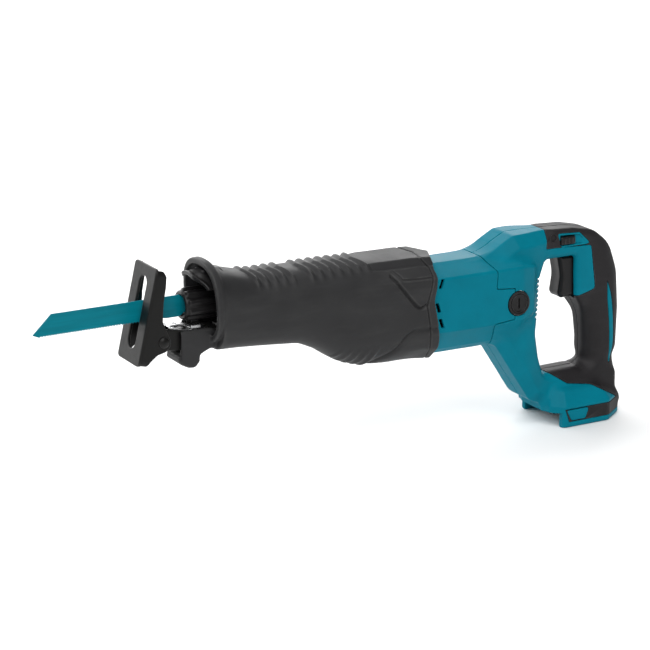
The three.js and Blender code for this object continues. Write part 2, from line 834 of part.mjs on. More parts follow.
function ventSlots() {
  const slots = [];
  for (const z of [-6, -27, -41]) {
    slots.push(box(281, 284.5, -60, 60, z - 4.5, z + 4.5));
  }
  return join(...slots);
}

const SCREWS = [
  { x: 352, z: 6 },
  { x: 402, z: 9 },
  { x: 455, z: -58 },
  { x: 366, z: -66 },
  { x: 474, z: -134 },
];
const SCREW = { r: 2, head: 3.6, y: 15.5 };

function screwHoles() {
  return join(
    ...SCREWS.map(({ x, z }) =>
      join(
        rod('y', SCREW.r + 0.2, -11.5, 30, [x, 0, z], 8),
        rod('y', SCREW.head + 0.4, SCREW.y - 4, 60, [x, 0, z], 12),
      ),
    ),
  );
}

function screwPosts() {
  return join(...SCREWS.map(({ x, z }) => rod('y', 5.2, -60, 60, [x, 0, z], 8)));
}

const whole = hull(0);
const core = hull(GRIP_SKIN + GAP);
const hollow = cavity();

function makeMotorHousing() {
  const capBores = rod('y', CAP.r + GAP, -60, 60, [CAP.x, 0, CAP.z], 24);
  const ribs = join(...[290, 326].map((x) => box(x, x + 4, -60, 60, -110, 60)));
  return whole
    .intersect(motorRegion(0))
    .subtract(rod('x', MOTOR_BORE, 250, 380, [0, 0, MOTOR_Z], 32))
    .subtract(hull(HOUSING.wall).subtract(ribs))
    .subtract(capBores)
    .subtract(ventSlots())
    .subtract(box(200, 263.5, -60, 60, -110, 60));
}

// Everything on one side of the split between the casing halves.
function sideOf(side) {
  const y = [SPLIT, 60].map((v) => side * v).sort((a, b) => a - b);
  return box(300, 520, y[0], y[1], -200, 60);
}

function makeHandle(side) {
  const filled = join(whole.subtract(skinRegion(GAP)), core).subtract(motorRegion(GAP));
  const shell = filled
    .subtract(hollow)
    .subtract(rod('y', CAP.r + GAP, -60, 60, [CAP.x, 0, CAP.z], 32))
    .subtract(batteryChannel())
    .subtract(terminalSeat())
    .subtract(triggerWindow())
    .subtract(lockWindow());
  const posts = screwPosts().intersect(filled);
  return join(shell, posts).subtract(screwHoles()).intersect(sideOf(side));
}

function makeGripSkin(side) {
  return whole
    .intersect(skinRegion(0))
    .subtract(hull(GRIP_SKIN))
    .subtract(triggerWindow())
    .subtract(lockWindow())
    .subtract(batteryChannel())
    .subtract(screwHoles())
    .intersect(sideOf(side));
}

// ---- switch, trigger and lock-off -------------------------------------------------------------

const LOCK = { x: 423, z: 10, halfX: 8, halfZ: 3.8, reach: 19.5 };

function lockWindow() {
  return box(LOCK.x - LOCK.halfX - 0.5, LOCK.x + LOCK.halfX + 0.5, -60, 60, LOCK.z - LOCK.halfZ - 0.5,
    LOCK.z + LOCK.halfZ + 0.5);
}

function makeLockButton() {
  const shape = outline([
    [LOCK.x - LOCK.halfX, LOCK.z - LOCK.halfZ],
    [LOCK.x + LOCK.halfX, LOCK.z - LOCK.halfZ],
    [LOCK.x + LOCK.halfX, LOCK.z + LOCK.halfZ],
    [LOCK.x - LOCK.halfX, LOCK.z + LOCK.halfZ],
  ]);
  return slab(shape, -LOCK.reach, LOCK.reach, 0.8);
}

function makeTrigger() {
  const { front, rear, top, bottom, half } = TRIGGER;
  const s = new THREE.Shape();
  s.moveTo(front + 1, top);
  s.lineTo(rear, top);
  s.lineTo(rear, bottom + 1);
  s.lineTo(front + 10, bottom);
  s.quadraticCurveTo(front + 3, bottom + 1, front + 2.5, bottom + 5);
  s.quadraticCurveTo(front + 4, (top + bottom) / 2, front + 1, top);
  return slab(s, -half, half, 2.5);
}

function makeSwitch() {
  return box(447, 463, -8, 8, -42, -14);
}

function makeTerminalBlock() {
  const { x0, x1, half, z0, z1 } = TERMINAL;
  const body = box(x0, x1, -half, half, z0, z1);
  const fins = [-9, -3, 3, 9].map((y) => box(x0 + 6, x1 - 8, y - 0.8, y + 0.8, z0 - 8.3, z0 + 0.7));
  return join(body, ...fins);
}

function makeScrew({ x, z }) {
  const seat = SCREW.y - 4;
  const shank = rod('y', SCREW.r - 0.2, -10, seat - GAP + 1, [x, 0, z], 8);
  const head = rod('y', SCREW.head, seat + GAP, seat + 2.6, [x, 0, z], 12);
  return join(shank, head);
}

// ---- assembly -------------------------------------------------------------------------------

const saw = new THREE.Group();

function add(name, body, material) {
  const mesh = new THREE.Mesh(geometryOf(body), material);
  mesh.name = name;
  saw.add(mesh);
}

add('blade', makeBlade(), BLADE_TEAL);
add('blade_holder', makeBladeHolder(), STEEL);
add('clamp_pin', makeClampPin(), STEEL);
add('clamp_sleeve', makeClampSleeve(), BLACK);
add('clamp_spring', makeClampSpring(), STEEL);
add('slider', makeSlider(), STEEL);

add('shoe', makeShoe(), DARK_STEEL);
add('shoe_pin', makeShoePin(), DARK_STEEL);
add('shoe_bar', makeShoeBar(), DARK_STEEL);
add('bar_spring', makeBarSpring(), STEEL);
add('shoe_button', makeShoeButton(), BLACK);
add('nose_guard', makeNoseGuard(), BLACK);

add('boot', makeBoot(), RUBBER);
add('gear_case', makeGearCase(), CAST);
add('gear_case_cover', makeCaseCover(), CAST);
add('front_bush', tube('x', BUSH.r, SLIDER.r + 0.1, ...BUSH.front, [0, 0, 0]), BRASS);
add('rear_bush', tube('x', BUSH.r, SLIDER.r + 0.1, ...BUSH.rear, [0, 0, 0]), BRASS);
add('slider_seal', tube('x', 13.7, SLIDER.r + 0.1, 100, 107.7, [0, 0, 0]), RUBBER);

add('crank_gear', makeCrankGear(), STEEL);
add('crank_shaft', makeCrankShaft(), STEEL);
add('crank_pin', makeCrankPin(), STEEL);
add('crank_roller', tube('z', ROLLER_R, 4, -7, 0.9, [CRANK_X, CRANK_R, 0]), STEEL);
add('crank_bearing', tube('z', BEARING.r, 5.3, -59.5, -50, [CRANK_X, 0, 0]), STEEL);

add('bevel_pinion', makeBevelPinion(), STEEL);
add('armature_shaft', makeArmatureShaft(), STEEL);
add('armature_core', makeArmatureCore(), DARK_STEEL);
add('commutator', tube('x', 11, 4.2, 345, 366, [0, 0, MOTOR_Z], 24), COPPER);
add('motor_fan', makeFan(), BLACK);
add('front_bearing', makeBearing(252, 260, BEARING.r, BEARING.shaft), STEEL);
add('rear_bearing', makeBearing(366.5, 372, 9, 3.2), STEEL);
add('motor_can', tube('x', 28.8, 26, 284, 335, [0, 0, MOTOR_Z], 36), DARK_STEEL);
for (const [name, side] of [['left', -1], ['right', 1]]) {
  add(`magnet_${name}`, makeMagnet(side), CARBON);
  add(`brush_holder_${name}`, makeBrushHolder(side), BRASS);
  add(`carbon_brush_${name}`, makeBrush(side), CARBON);
  add(`brush_cap_${name}`, makeBrushCap(side), BLACK);
  add(`handle_${name}`, makeHandle(side), TEAL);
  add(`grip_cover_${name}`, makeGripSkin(side), BLACK);
}
add('motor_housing', makeMotorHousing(), TEAL);

add('trigger', makeTrigger(), BLACK);
add('lock_button', makeLockButton(), BLACK);
add('switch_body', makeSwitch(), BLACK);
add('terminal_block', makeTerminalBlock(), BLACK);
SCREWS.forEach((place, i) => add(`handle_screw_${i + 1}`, makeScrew(place), DARK_STEEL));

const bounds = new THREE.Box3().setFromObject(saw);
const middle = bounds.getCenter(new THREE.Vector3());
saw.position.set(-middle.x, -middle.y, -bounds.min.z);

export default saw;
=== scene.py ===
"""A cordless reciprocating saw. The looks of each piece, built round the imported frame.

The casings are smooth distance fields, in millimetres, that are surfaced, settled onto their own zero
level and thinned out. The drawing frame has X from blade to grip, Z up, and its origin on the stroke axis.
"""

import json

import bpy
import numpy as np
import openvdb
from mathutils import Matrix, Vector


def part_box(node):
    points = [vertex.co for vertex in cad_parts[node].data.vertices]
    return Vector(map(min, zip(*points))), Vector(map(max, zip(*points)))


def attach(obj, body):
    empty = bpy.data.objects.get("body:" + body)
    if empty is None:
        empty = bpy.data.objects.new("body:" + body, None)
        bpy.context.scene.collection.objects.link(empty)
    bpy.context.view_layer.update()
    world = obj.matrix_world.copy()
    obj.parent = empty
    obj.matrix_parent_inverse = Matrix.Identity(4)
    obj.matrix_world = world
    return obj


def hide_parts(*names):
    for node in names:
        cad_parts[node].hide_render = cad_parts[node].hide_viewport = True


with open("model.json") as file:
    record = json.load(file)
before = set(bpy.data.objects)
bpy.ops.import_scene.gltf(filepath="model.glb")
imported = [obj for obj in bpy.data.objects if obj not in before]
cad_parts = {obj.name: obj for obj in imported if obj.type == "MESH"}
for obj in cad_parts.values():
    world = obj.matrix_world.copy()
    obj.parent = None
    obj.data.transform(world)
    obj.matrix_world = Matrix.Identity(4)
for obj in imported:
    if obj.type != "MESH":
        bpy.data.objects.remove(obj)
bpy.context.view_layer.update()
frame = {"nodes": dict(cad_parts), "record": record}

MM = 1000.0
BUSH_FRONT = 160.3  # x of the rear bush in the drawing frame

bush_low, bush_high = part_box("rear_bush")
ORIGIN = np.array([bush_low.x * MM - BUSH_FRONT, 0.0, (bush_low.z + bush_high.z) / 2 * MM])


def place(x, y, z):
    """A point of the drawing frame, in metres in the row frame."""
    return (ORIGIN + np.array([x, y, z], float)) / MM


# ---- distance fields -------------------------------------------------------------------------


def smin(a, b, k):
    h = np.clip(0.5 + 0.5 * (b - a) / k, 0, 1)
    return b + (a - b) * h - k * h * (1 - h)


def smax(a, b, k):
    return -smin(-a, -b, k)


def ramp(v, start, end):
    """0 before start and 1 after end, with no corner."""
    t = np.clip((v - start) / (end - start), 0, 1)
    return t * t * (3 - 2 * t)


def block(p, low, high, r):
    """A box with edges of radius r."""
    q = [np.abs(v - (a + b) / 2) - (b - a) / 2 + r for v, a, b in zip(p, low, high)]
    out = np.sqrt(sum(np.maximum(v, 0) ** 2 for v in q))
    return out + np.minimum(np.maximum.reduce(q), 0) - r


def extruded(flat, across, half, r):
    """A flat shape's distance and the distance from its middle plane, joined with edges of radius r."""
    a = flat + r
    b = np.abs(across) - half + r
    return np.hypot(np.maximum(a, 0), np.maximum(b, 0)) + np.minimum(np.maximum(a, b), 0) - r


def pin(u, v, w, radius, start, end, r=0.4):
    """A round bar along w from start to end, centred on u = v = 0."""
    return extruded(np.hypot(u, v) - radius, w - (start + end) / 2, (end - start) / 2, r)


def fillet(points, arc=5):
    """An outline whose corners (u, v, r) are rounded by arcs of radius r. A corner (u, v) stays sharp."""
    made = []
    count = len(points)
    for i, corner in enumerate(points):
        here = np.array(corner[:2], float)
        if len(corner) < 3:
            made.append(here)
            continue
        before = np.array(points[i - 1][:2], float) - here
        after = np.array(points[(i + 1) % count][:2], float) - here
        reach = min(np.linalg.norm(before), np.linalg.norm(after)) * 0.49
        before /= np.linalg.norm(before)
        after /= np.linalg.norm(after)
        half = 0.5 * np.arccos(np.clip(before @ after, -0.9999, 0.9999))
        run = min(corner[2] / np.tan(half), reach)
        a, b = here + before * run, here + after * run
        for t in np.linspace(0, 1, arc + 1):
            made.append((1 - t) ** 2 * a + 2 * t * (1 - t) * here + t * t * b)
    return np.array(made)


def smooth_line(points, steps=6):
    """A Catmull-Rom curve through points that is open at both ends."""
    p = np.array([points[0], *points, points[-1]], float)
    made = []
    for a, b, c, d in zip(p, p[1:], p[2:], p[3:]):
        for t in np.arange(steps) / steps:
            curve = 2 * b + (c - a) * t + (2 * a - 5 * b + 4 * c - d) * t**2
            curve += (3 * b - a - 3 * c + d) * t**3
            made.append(curve / 2)
    return np.array([*made, p[-1]])


def flat_field(points, closed=True, step=0.5, margin=14.0):
    """A function of (u, v): the distance to an outline, negative inside, or to an open line."""
    points = np.array(points, float)
    low = points.min(0) - margin
    size = np.ceil((points.max(0) + margin - low) / step).astype(int) + 1
    u, v = np.meshgrid(*[low[i] + np.arange(size[i]) * step for i in (0, 1)], indexing="ij")
    best = np.full(u.shape, 1e9)
    inside = np.zeros(u.shape, bool)
    ends = np.roll(points, -1, 0) if closed else points[1:]
    for (ax, ay), (bx, by) in zip(points, ends):
        ex, ey = bx - ax, by - ay
        t = np.clip(((u - ax) * ex + (v - ay) * ey) / (ex * ex + ey * ey + 1e-12), 0, 1)
        best = np.minimum(best, (u - ax - t * ex) ** 2 + (v - ay - t * ey) ** 2)
        if closed:
            crosses = (ay > v) != (by > v)
            inside ^= crosses & (u < ex * (v - ay) / (ey if ey else 1e-12) + ax)
    grid = np.sqrt(best)
    grid[inside] *= -1
    grid = grid.astype(np.float32)

    def look_up(a, b):
        s = np.clip((a - low[0]) / step, 0, size[0] - 1.001)
        t = np.clip((b - low[1]) / step, 0, size[1] - 1.001)
        i, j = s.astype(np.int32), t.astype(np.int32)
        s, t = (s - i).astype(np.float32), (t - j).astype(np.float32)
        near = grid[i, j] * (1 - t) + grid[i, j + 1] * t
        far = grid[i + 1, j] * (1 - t) + grid[i + 1, j + 1] * t
        return near * (1 - s) + far * s

    return look_up


def track(stations, soft):
    """A function of x: each column of the stations [x, a, b, ...], with corners eased over soft mm."""
    s = np.array(stations, float)
    x = np.arange(s[0, 0] - 2 * soft, s[-1, 0] + 2 * soft, 0.5)
    window = np.hanning(int(soft / 0.5) * 2 + 1)
    window /= window.sum()
    pad = len(window) // 2
    eased = []
    for column in s[:, 1:].T:
        line = np.interp(x, s[:, 0], column)
        eased.append(np.convolve(np.pad(line, pad, mode="edge"), window, mode="valid"))
    return lambda at: [np.interp(at, x, line).astype(np.float32) for line in eased]


def oval(y, z, half, top, bottom, power, inset=0.0):
    """A superellipse section: about the distance to it, measured along the ray from its middle."""
    middle = (top + bottom) / 2
    a = half - inset
    b = (top - bottom) / 2 - inset
    r = np.hypot(y, z - middle) + 1e-4
    q = (np.abs(y / a) ** power + np.abs((z - middle) / b) ** power) ** (1 / power)
    return r - r / np.maximum(q, 1e-6)


def groove(distance, width, depth):
    """How far a smooth channel along a line pushes a surface in."""
    return depth * np.exp(-((distance / width) ** 2))


# ---- from field to mesh ----------------------------------------------------------------------

CELLS = 4  # voxels along a block of the coarse pass


def settle(field, v, reach, rounds=2):
    """Moves points onto the field's zero level. Returns them with their normals and bend."""
    e = 0.35
    for _ in range(rounds):
        value = field((v[:, 0], v[:, 1], v[:, 2]))
        sides = []
        for axis in range(3):
            for sign in (1, -1):
                q = v.copy()
                q[:, axis] += sign * e
                sides.append(field((q[:, 0], q[:, 1], q[:, 2])))
        slope = np.stack([(sides[2 * i] - sides[2 * i + 1]) / (2 * e) for i in range(3)], 1)
        steep = np.linalg.norm(slope, axis=1) + 1e-6
        normal = slope / steep[:, None]
        v = v - normal * np.clip(value / steep, -reach, reach)[:, None]
    bend = (sum(sides) - 6 * value) / (e * e * steep)
    return v, normal, bend


def bare_mesh(name, v, faces):
    mesh = bpy.data.meshes.new(name)
    mesh.from_pydata(v.tolist(), [], faces)
    mesh.update()
    return mesh


def thinned(mesh, share):
    """The mesh with its flattest edges collapsed, down to a share of its faces."""
    obj = bpy.data.objects.new("thinning", mesh)
    bpy.context.scene.collection.objects.link(obj)
    modifier = obj.modifiers.new("thin", "DECIMATE")
    modifier.ratio = share
    depsgraph = bpy.context.evaluated_depsgraph_get()
    made = bpy.data.meshes.new_from_object(obj.evaluated_get(depsgraph))
    bpy.data.objects.remove(obj)
    return made


def surfaced(name, field, low, high, voxel, share=0.4):
    """An object for the body where field is negative, inside the box low..high."""
    voxel = voxel * 1.0
    low = np.array(low, float) - 2 * voxel
    high = np.array(high, float) + 2 * voxel
    count = np.ceil((high - low) / (voxel * CELLS)).astype(int)
    axes = [low[i] + (np.arange(count[i]) + 0.5) * voxel * CELLS for i in range(3)]
    centres = np.stack([a.ravel() for a in np.meshgrid(*axes, indexing="ij")], 1).astype(np.float32)
    coarse = field((centres[:, 0], centres[:, 1], centres[:, 2])).reshape(count)
    dense = coarse.astype(np.float32)
    for axis in range(3):
        dense = np.repeat(dense, CELLS, axis=axis)
    near = np.argwhere(np.abs(coarse) < voxel * CELLS * 1.5)
    offset = np.stack([a.ravel() for a in np.meshgrid(*[np.arange(CELLS)] * 3, indexing="ij")], 1)
    index = (near[:, None, :] * CELLS + offset[None]).reshape(-1, 3)
    fine = (low + (index + 0.5) * voxel).astype(np.float32)
    dense[index[:, 0], index[:, 1], index[:, 2]] = field((fine[:, 0], fine[:, 1], fine[:, 2]))
    dense[[0, -1]] = np.maximum(dense[[0, -1]], voxel)
    dense[:, [0, -1]] = np.maximum(dense[:, [0, -1]], voxel)
    dense[:, :, [0, -1]] = np.maximum(dense[:, :, [0, -1]], voxel)
    grid = openvdb.FloatGrid(10 * voxel)
    grid.copyFromArray(dense)
    points, triangles, quads = grid.convertToPolygons(0.0, 0.0)
    v = low + (np.array(points, float) + 0.5) * voxel
    corner = np.array(quads, np.int64)
    a, b, c = (v[corner[:, i]] for i in range(3))
    if np.einsum("ij,ij->", np.cross(a, b), c) < 0:
        corner = corner[:, ::-1]
    v, _, _ = settle(field, v, voxel, 1)
    faces = corner.tolist() + np.array(triangles, np.int64).reshape(-1, 3).tolist()
    mesh = thinned(bare_mesh(name, v, faces), share)
    v = np.empty(len(mesh.vertices) * 3)
    mesh.vertices.foreach_get("co", v)
    v, normal, bend = settle(field, v.reshape(-1, 3), voxel * 0.5)
    return finished(name, mesh, v, normal, bend)


def finished(name, mesh, v, normal, bend):
    """The mesh in the row frame, shaded by its field's own normals, with its bend kept for materials."""
    mesh.vertices.foreach_set("co", ((v + ORIGIN) / MM).ravel())
    mesh.update()
    mesh.polygons.foreach_set("use_smooth", np.ones(len(mesh.polygons), bool))
    mesh.normals_split_custom_set_from_vertices(normal.tolist())
    attribute = mesh.attributes.new("bend", "FLOAT", "POINT")
    attribute.data.foreach_set("value", np.clip(bend, -2, 2).astype(np.float32))
    mesh.name = name
    obj = bpy.data.objects.new(name, mesh)
    bpy.context.scene.collection.objects.link(obj)
    return obj


def fit(obj, body, slot, material, *nodes):
    """The piece rides on body, takes its material, and stands for the nodes. The slot is not used."""
    obj.data.materials.append(material)
    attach(obj, body)
    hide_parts(*nodes)
    return obj


# ---- materials -------------------------------------------------------------------------------


class Surface:
    """A Principled material under construction: node helpers and the finished shader."""

    def __init__(self, name):
        self.material = bpy.data.materials.new(name)
        self.material.use_nodes = True
        self.tree = self.material.node_tree
        self.shader = self.tree.nodes["Principled BSDF"]
        self.where = self.add("ShaderNodeTexCoord").outputs["Object"]

    def add(self, kind, **values):
        node = self.tree.nodes.new(kind)
        for key, value in values.items():
            setattr(node, key, value)
        return node

    def put(self, socket, value):
        """A constant goes on the socket itself, and an output is linked to it."""
        if isinstance(value, bpy.types.NodeSocket):
            self.tree.links.new(value, socket)
        else:
            socket.default_value = value

    def noise(self, scale, detail=4.0, rough=0.55, stretch=None):
        node = self.add("ShaderNodeTexNoise")
        node.inputs["Scale"].default_value = scale
        node.inputs["Detail"].default_value = detail
        node.inputs["Roughness"].default_value = rough
        source = self.where
        if stretch:
            mapping = self.add("ShaderNodeMapping")
            mapping.inputs["Scale"].default_value = stretch
            self.put(mapping.inputs["Vector"], source)
            source = mapping.outputs["Vector"]
        self.put(node.inputs["Vector"], source)
        return node.outputs["Fac"]

    def cells(self, scale):
        node = self.add("ShaderNodeTexVoronoi", feature="SMOOTH_F1")
        node.inputs["Scale"].default_value = scale
        self.put(node.inputs["Vector"], self.where)
        return node.outputs["Distance"]

    def between(self, value, low, high, to_low=0.0, to_high=1.0):
        node = self.add("ShaderNodeMapRange")
        self.put(node.inputs["Value"], value)
        limits = {"From Min": low, "From Max": high, "To Min": to_low, "To Max": to_high}
        for key, number in limits.items():
            node.inputs[key].default_value = number
        return node.outputs["Result"]

    def math(self, operation, a, b=0.0):
        node = self.add("ShaderNodeMath", operation=operation)
        self.put(node.inputs[0], a)
        self.put(node.inputs[1], b)
        return node.outputs["Value"]

    def mix(self, share, a, b):
        node = self.add("ShaderNodeMix", data_type="RGBA")
        self.put(node.inputs["Factor"], share)
        for socket, value in (("A", a), ("B", b)):
            found = [s for s in node.inputs if s.name == socket and s.type == "RGBA"][0]
            self.put(found, (*value, 1.0) if isinstance(value, tuple) else value)
        return [s for s in node.outputs if s.type == "RGBA"][0]

    def bend(self):
        return self.add("ShaderNodeAttribute", attribute_name="bend").outputs["Fac"]

    def bump(self, height, strength, distance):
        node = self.add("ShaderNodeBump")
        node.inputs["Strength"].default_value = strength
        node.inputs["Distance"].default_value = distance
        self.put(node.inputs["Height"], height)
        self.put(self.shader.inputs["Normal"], node.outputs["Normal"])

    def done(self, colour, roughness, metallic=0.0, specular=0.5):
        self.put(self.shader.inputs["Base Color"], colour)
        self.put(self.shader.inputs["Roughness"], roughness)
        self.shader.inputs["Metallic"].default_value = metallic
        self.shader.inputs["Specular IOR Level"].default_value = specular
        return self.material


def linear(*rgb):
    """Colours are written as they look on a screen, 0 to 255, and used as light."""
    return tuple((c / 255 / 12.92) if c < 11 else ((c / 255 + 0.055) / 1.055) ** 2.4 for c in rgb)


def shade(colour, k):
    return tuple(c * k for c in colour)


def moulded(name, colour, worn, roughness, grain, depth, specular=0.5):
    """Injection-moulded plastic: a fine spark-eroded grain, cloudy tone, rubbed edges, and painted shade
    darkening its concave corners.
    """
    s = Surface(name)
    cloud = s.noise(38.0, 5.0)
    fine = s.noise(grain, 3.0, 0.6)
    tone = s.mix(s.between(cloud, 0.3, 0.7), shade(colour, 0.93), shade(colour, 1.07))
    speck = s.mix(s.between(s.noise(900.0, 2.0), 0.62, 0.75, 0.0, 0.25), tone, shade(colour, 1.35))
    patch = s.between(s.noise(160.0, 4.0), 0.42, 0.68)
    edge = s.math("MULTIPLY", s.between(s.bend(), 0.35, 1.3, 0.0, 0.55), patch)
    rubbed = s.mix(edge, speck, worn)
    # painted shade: concave corners and creases darken towards the colour at 0.35
    corner = s.between(s.bend(), -0.25, -1.2, 0.0, 0.45)
    final = s.mix(corner, rubbed, shade(colour, 0.35))
    gloss = s.between(s.math("ADD", cloud, s.math("MULTIPLY", fine, 0.5)), 0.45, 1.05,
                      roughness - 0.05, roughness + 0.07)
    s.bump(fine, depth, 0.00012)
    return s.done(final, gloss, specular=specular)


def rubber(name, colour, worn, roughness=0.62, pebble=1500.0):
    """Soft moulded rubber: a pebbled skin, uneven bloom, paler rubbed ridges."""
    s = Surface(name)
    skin = s.cells(pebble)
    cloud = s.noise(30.0, 6.0, 0.6)
    tone = s.mix(s.between(cloud, 0.3, 0.72), shade(colour, 0.85), shade(colour, 1.16))
    streak = s.between(s.noise(60.0, 5.0, 0.6, stretch=(0.25, 1.0, 1.0)), 0.5, 0.8, 0.0, 0.18)
    bloom = s.mix(streak, tone, worn)
    patch = s.between(s.noise(130.0, 4.0), 0.35, 0.7, 0.2, 1.0)
    edge = s.math("MULTIPLY", s.between(s.bend(), 0.2, 1.0, 0.0, 0.5), patch)
    rubbed = s.mix(edge, bloom, worn)
    # painted shade: concave corners and creases darken towards the colour at 0.3
    corner = s.between(s.bend(), -0.15, -0.9, 0.0, 0.6)
    final = s.mix(corner, rubbed, shade(colour, 0.3))
    gloss = s.between(cloud, 0.3, 0.7, roughness - 0.06, roughness + 0.08)
    height = s.math("ADD", s.math("MULTIPLY", skin, 0.6), s.math("MULTIPLY", s.noise(420.0, 3.0), 0.5))
    s.bump(height, 0.32, 0.00018)
    return s.done(final, gloss, specular=0.27)


def metal(name, colour, dark, roughness, grain=(1.0, 1.0, 1.0), scale=400.0, depth=0.2, metallic=1.0):
    """Worked steel or a casting: directional grain, oily stains, bright rubbed edges."""
    s = Surface(name)
    lines = s.noise(scale, 5.0, 0.65, stretch=grain)
    stain = s.noise(55.0, 6.0, 0.6)
    tone = s.mix(s.between(stain, 0.35, 0.68), shade(colour, 0.82), colour)
    brushed = s.mix(s.between(lines, 0.35, 0.65, 0.0, 0.35), tone, shade(colour, 1.25))
    # painted shade: concave corners darken towards the dark colour
    corner = s.between(s.bend(), -0.1, -1.0, 0.0, 0.75)
    shade_in_corners = s.mix(corner, brushed, dark)
    edge = s.between(s.bend(), 0.4, 1.5, 0.0, 0.6)
    final = s.mix(edge, shade_in_corners, tuple(min(1.0, c * 1.9 + 0.03) for c in colour))
    gloss = s.between(s.math("ADD", stain, s.math("MULTIPLY", lines, 0.6)), 0.5, 1.1,
                      max(0.08, roughness - 0.1), roughness + 0.12)
    s.bump(lines, depth, 0.00008)
    return s.done(final, gloss, metallic=metallic, specular=0.5 if metallic else 0.22)


TEAL = linear(0, 112, 131)
BLADE_TEAL = linear(0, 112, 127)
BOOT_GREY = linear(39, 39, 40)
GRIP_BLACK = linear(25, 23, 25)
JET = linear(16, 15, 16)

housing_plastic = moulded("housing_plastic", TEAL, linear(10, 134, 150), 0.44, 2600.0, 0.16, 0.06)
black_plastic = moulded("black_plastic", JET, linear(62, 62, 62), 0.36, 2400.0, 0.22, 0.28)
boot_rubber = rubber("boot_rubber", BOOT_GREY, linear(80, 80, 79), 0.55)
grip_rubber = rubber("grip_rubber", GRIP_BLACK, linear(66, 63, 64), 0.56, 1900.0)
shoe_steel = metal(
    "shoe_steel", linear(15, 15, 14), linear(6, 6, 5), 0.38, (0.3, 1.0, 1.0), 260.0, 0.3, 0.0,
)
bright_steel = metal(
    "bright_steel", linear(186, 187, 188), linear(60, 56, 50), 0.26, (0.12, 1.0, 1.0), 500.0,
)
dark_iron = metal("dark_iron", linear(70, 68, 66), linear(22, 20, 18), 0.42, (0.2, 1.0, 1.0), 420.0, 0.25)
cast_alloy = metal(
    "cast_aluminium", linear(150, 152, 154), linear(66, 64, 60), 0.5, scale=900.0, depth=0.5,
)
copper = metal("copper", linear(184, 112, 66), linear(80, 44, 26), 0.32, (0.1, 1.0, 1.0))
brass = metal("brass", linear(190, 158, 96), linear(88, 66, 30), 0.34)
carbon = metal("carbon", linear(38, 38, 39), linear(16, 16, 16), 0.6, scale=1200.0, metallic=0.0)
screw_steel = metal("screw_steel", linear(84, 84, 86), linear(24, 23, 22), 0.34, scale=800.0)


def painted_blade():
    """Teal lacquer over steel, rolled lengthwise, with scuffs."""
    s = Surface("blade_paint")
    streak = s.noise(240.0, 6.0, 0.6, stretch=(0.06, 1.0, 1.0))
    scuff = s.noise(700.0, 4.0, 0.6, stretch=(0.12, 1.0, 0.6))
    tone = s.mix(s.between(streak, 0.3, 0.7), shade(BLADE_TEAL, 0.9), shade(BLADE_TEAL, 1.12))
    scratched = s.mix(s.between(scuff, 0.68, 0.78, 0.0, 0.35), tone, linear(40, 142, 156))
    gloss = s.between(streak, 0.3, 0.7, 0.3, 0.44)
    s.bump(streak, 0.12, 0.00006)
    return s.done(scratched, gloss, specular=0.1)


blade_paint = painted_blade()
MATERIAL = {
    "blade_paint": blade_paint,
    "boot_rubber": boot_rubber,
    "grip_rubber": grip_rubber,
    "housing_plastic": housing_plastic,
    "black_plastic": black_plastic,
    "shoe_steel": shoe_steel,
    "bright_steel": bright_steel,
    "cast_aluminium": cast_alloy,
    "dark_iron": dark_iron,
    "copper": copper,
    "carbon": carbon,
    "brass": brass,
    "screw_steel": screw_steel,
}

# ---- the boot --------------------------------------------------------------------------------

BOOT_WALL = 3.2
BUTTON_X, BUTTON_Z = 46.0, -45.5
# [x, half width, top, bottom]
BOOT_STATIONS = [
    [64, 31, 31, -41],
    [85, 30.5, 25.5, -41.8],
    [105, 30.5, 20.5, -43.2],
    [145, 31, 20.5, -46.8],
    [163, 33, 20, -55],
    [183, 36, 19.5, -68.5],
    [203, 38, 18.5, -75],
    [228, 39, 17.5, -77],
    [258, 39.5, 17, -77],
    [280, 41, 15.5, -79.5],
]
LIP_STATIONS = [
    [53, 32, 36.6, -31.5],
    [57, 33.6, 37.8, -33.2],
    [63, 33.9, 38.2, -34],
    [67, 31.6, 33, -34.5],
    [80, 28, 24, -35],
]
DRUM_STATIONS = [
    [262, 35, 5, -73.5],
    [280, 37.5, 7, -75.5],
    [325, 38, 7, -76],
    [362, 38, 7, -75],
    [377, 33, 3, -68],
    [388, 24, -2, -56],
]
# Half sections (|y|, z), clockwise from the top, at the sizes below. Stations stretch them.
REAR_HALF, REAR_HEIGHT, REAR_MIDDLE = 39.5, 93.5, -29.75
DRUM_HALF, DRUM_HEIGHT, DRUM_MIDDLE = 38.0, 83.0, -34.5
REAR_SECTION = [
    (-20, 17), (20.5, 17, 2), (24.5, 10.5, 1.5), (27, 10, 1), (37.5, 1.5, 3), (39.5, -6, 4),
    (39.5, -44, 12), (35, -62, 10), (20, -75.5, 9), (14, -76.5, 4), (-20, -76.5),
]
DRUM_SECTION = [
    (-20, 7), (13, 7, 1), (37.2, -1, 1.6), (38, -3, 1), (38, -51, 1.5), (22.5, -70.5, 1),
    (15.5, -76, 1), (-20, -76),
]

boot_size = track(BOOT_STATIONS, 9)
lip_size = track(LIP_STATIONS, 2.5)
drum_size = track(DRUM_STATIONS, 5)
rear_section = flat_field(fillet(REAR_SECTION))
drum_section = flat_field(fillet(DRUM_SECTION))
TONGUE = [
    (29, -20.5, 2), (28.5, -43, 3), (33, -49, 5), (40, -52.5, 5), (46, -53, 5), (50.5, -48, 4),
    (50.5, -42, 5), (60, -38), (74, -38), (74, -28), (62, -20), (40, -19, 3),
]
tongue_side = flat_field(fillet(TONGUE))
SLIT_LINE = [(228, 6), (238, -8), (250, -22), (255, -24), (259, -22)]
slit_line = flat_field(smooth_line(SLIT_LINE), closed=False)
COLLAR_LINE = [
    (250, 40), (255, 26), (262, 14), (267, 8), (268, 2), (261, -23), (265, -46), (267, -80),
]
collar_line = flat_field(COLLAR_LINE, closed=False)
LOWER_LINE = [(207, -78), (214, -69), (230, -60), (246, -45), (270, -45.5)]
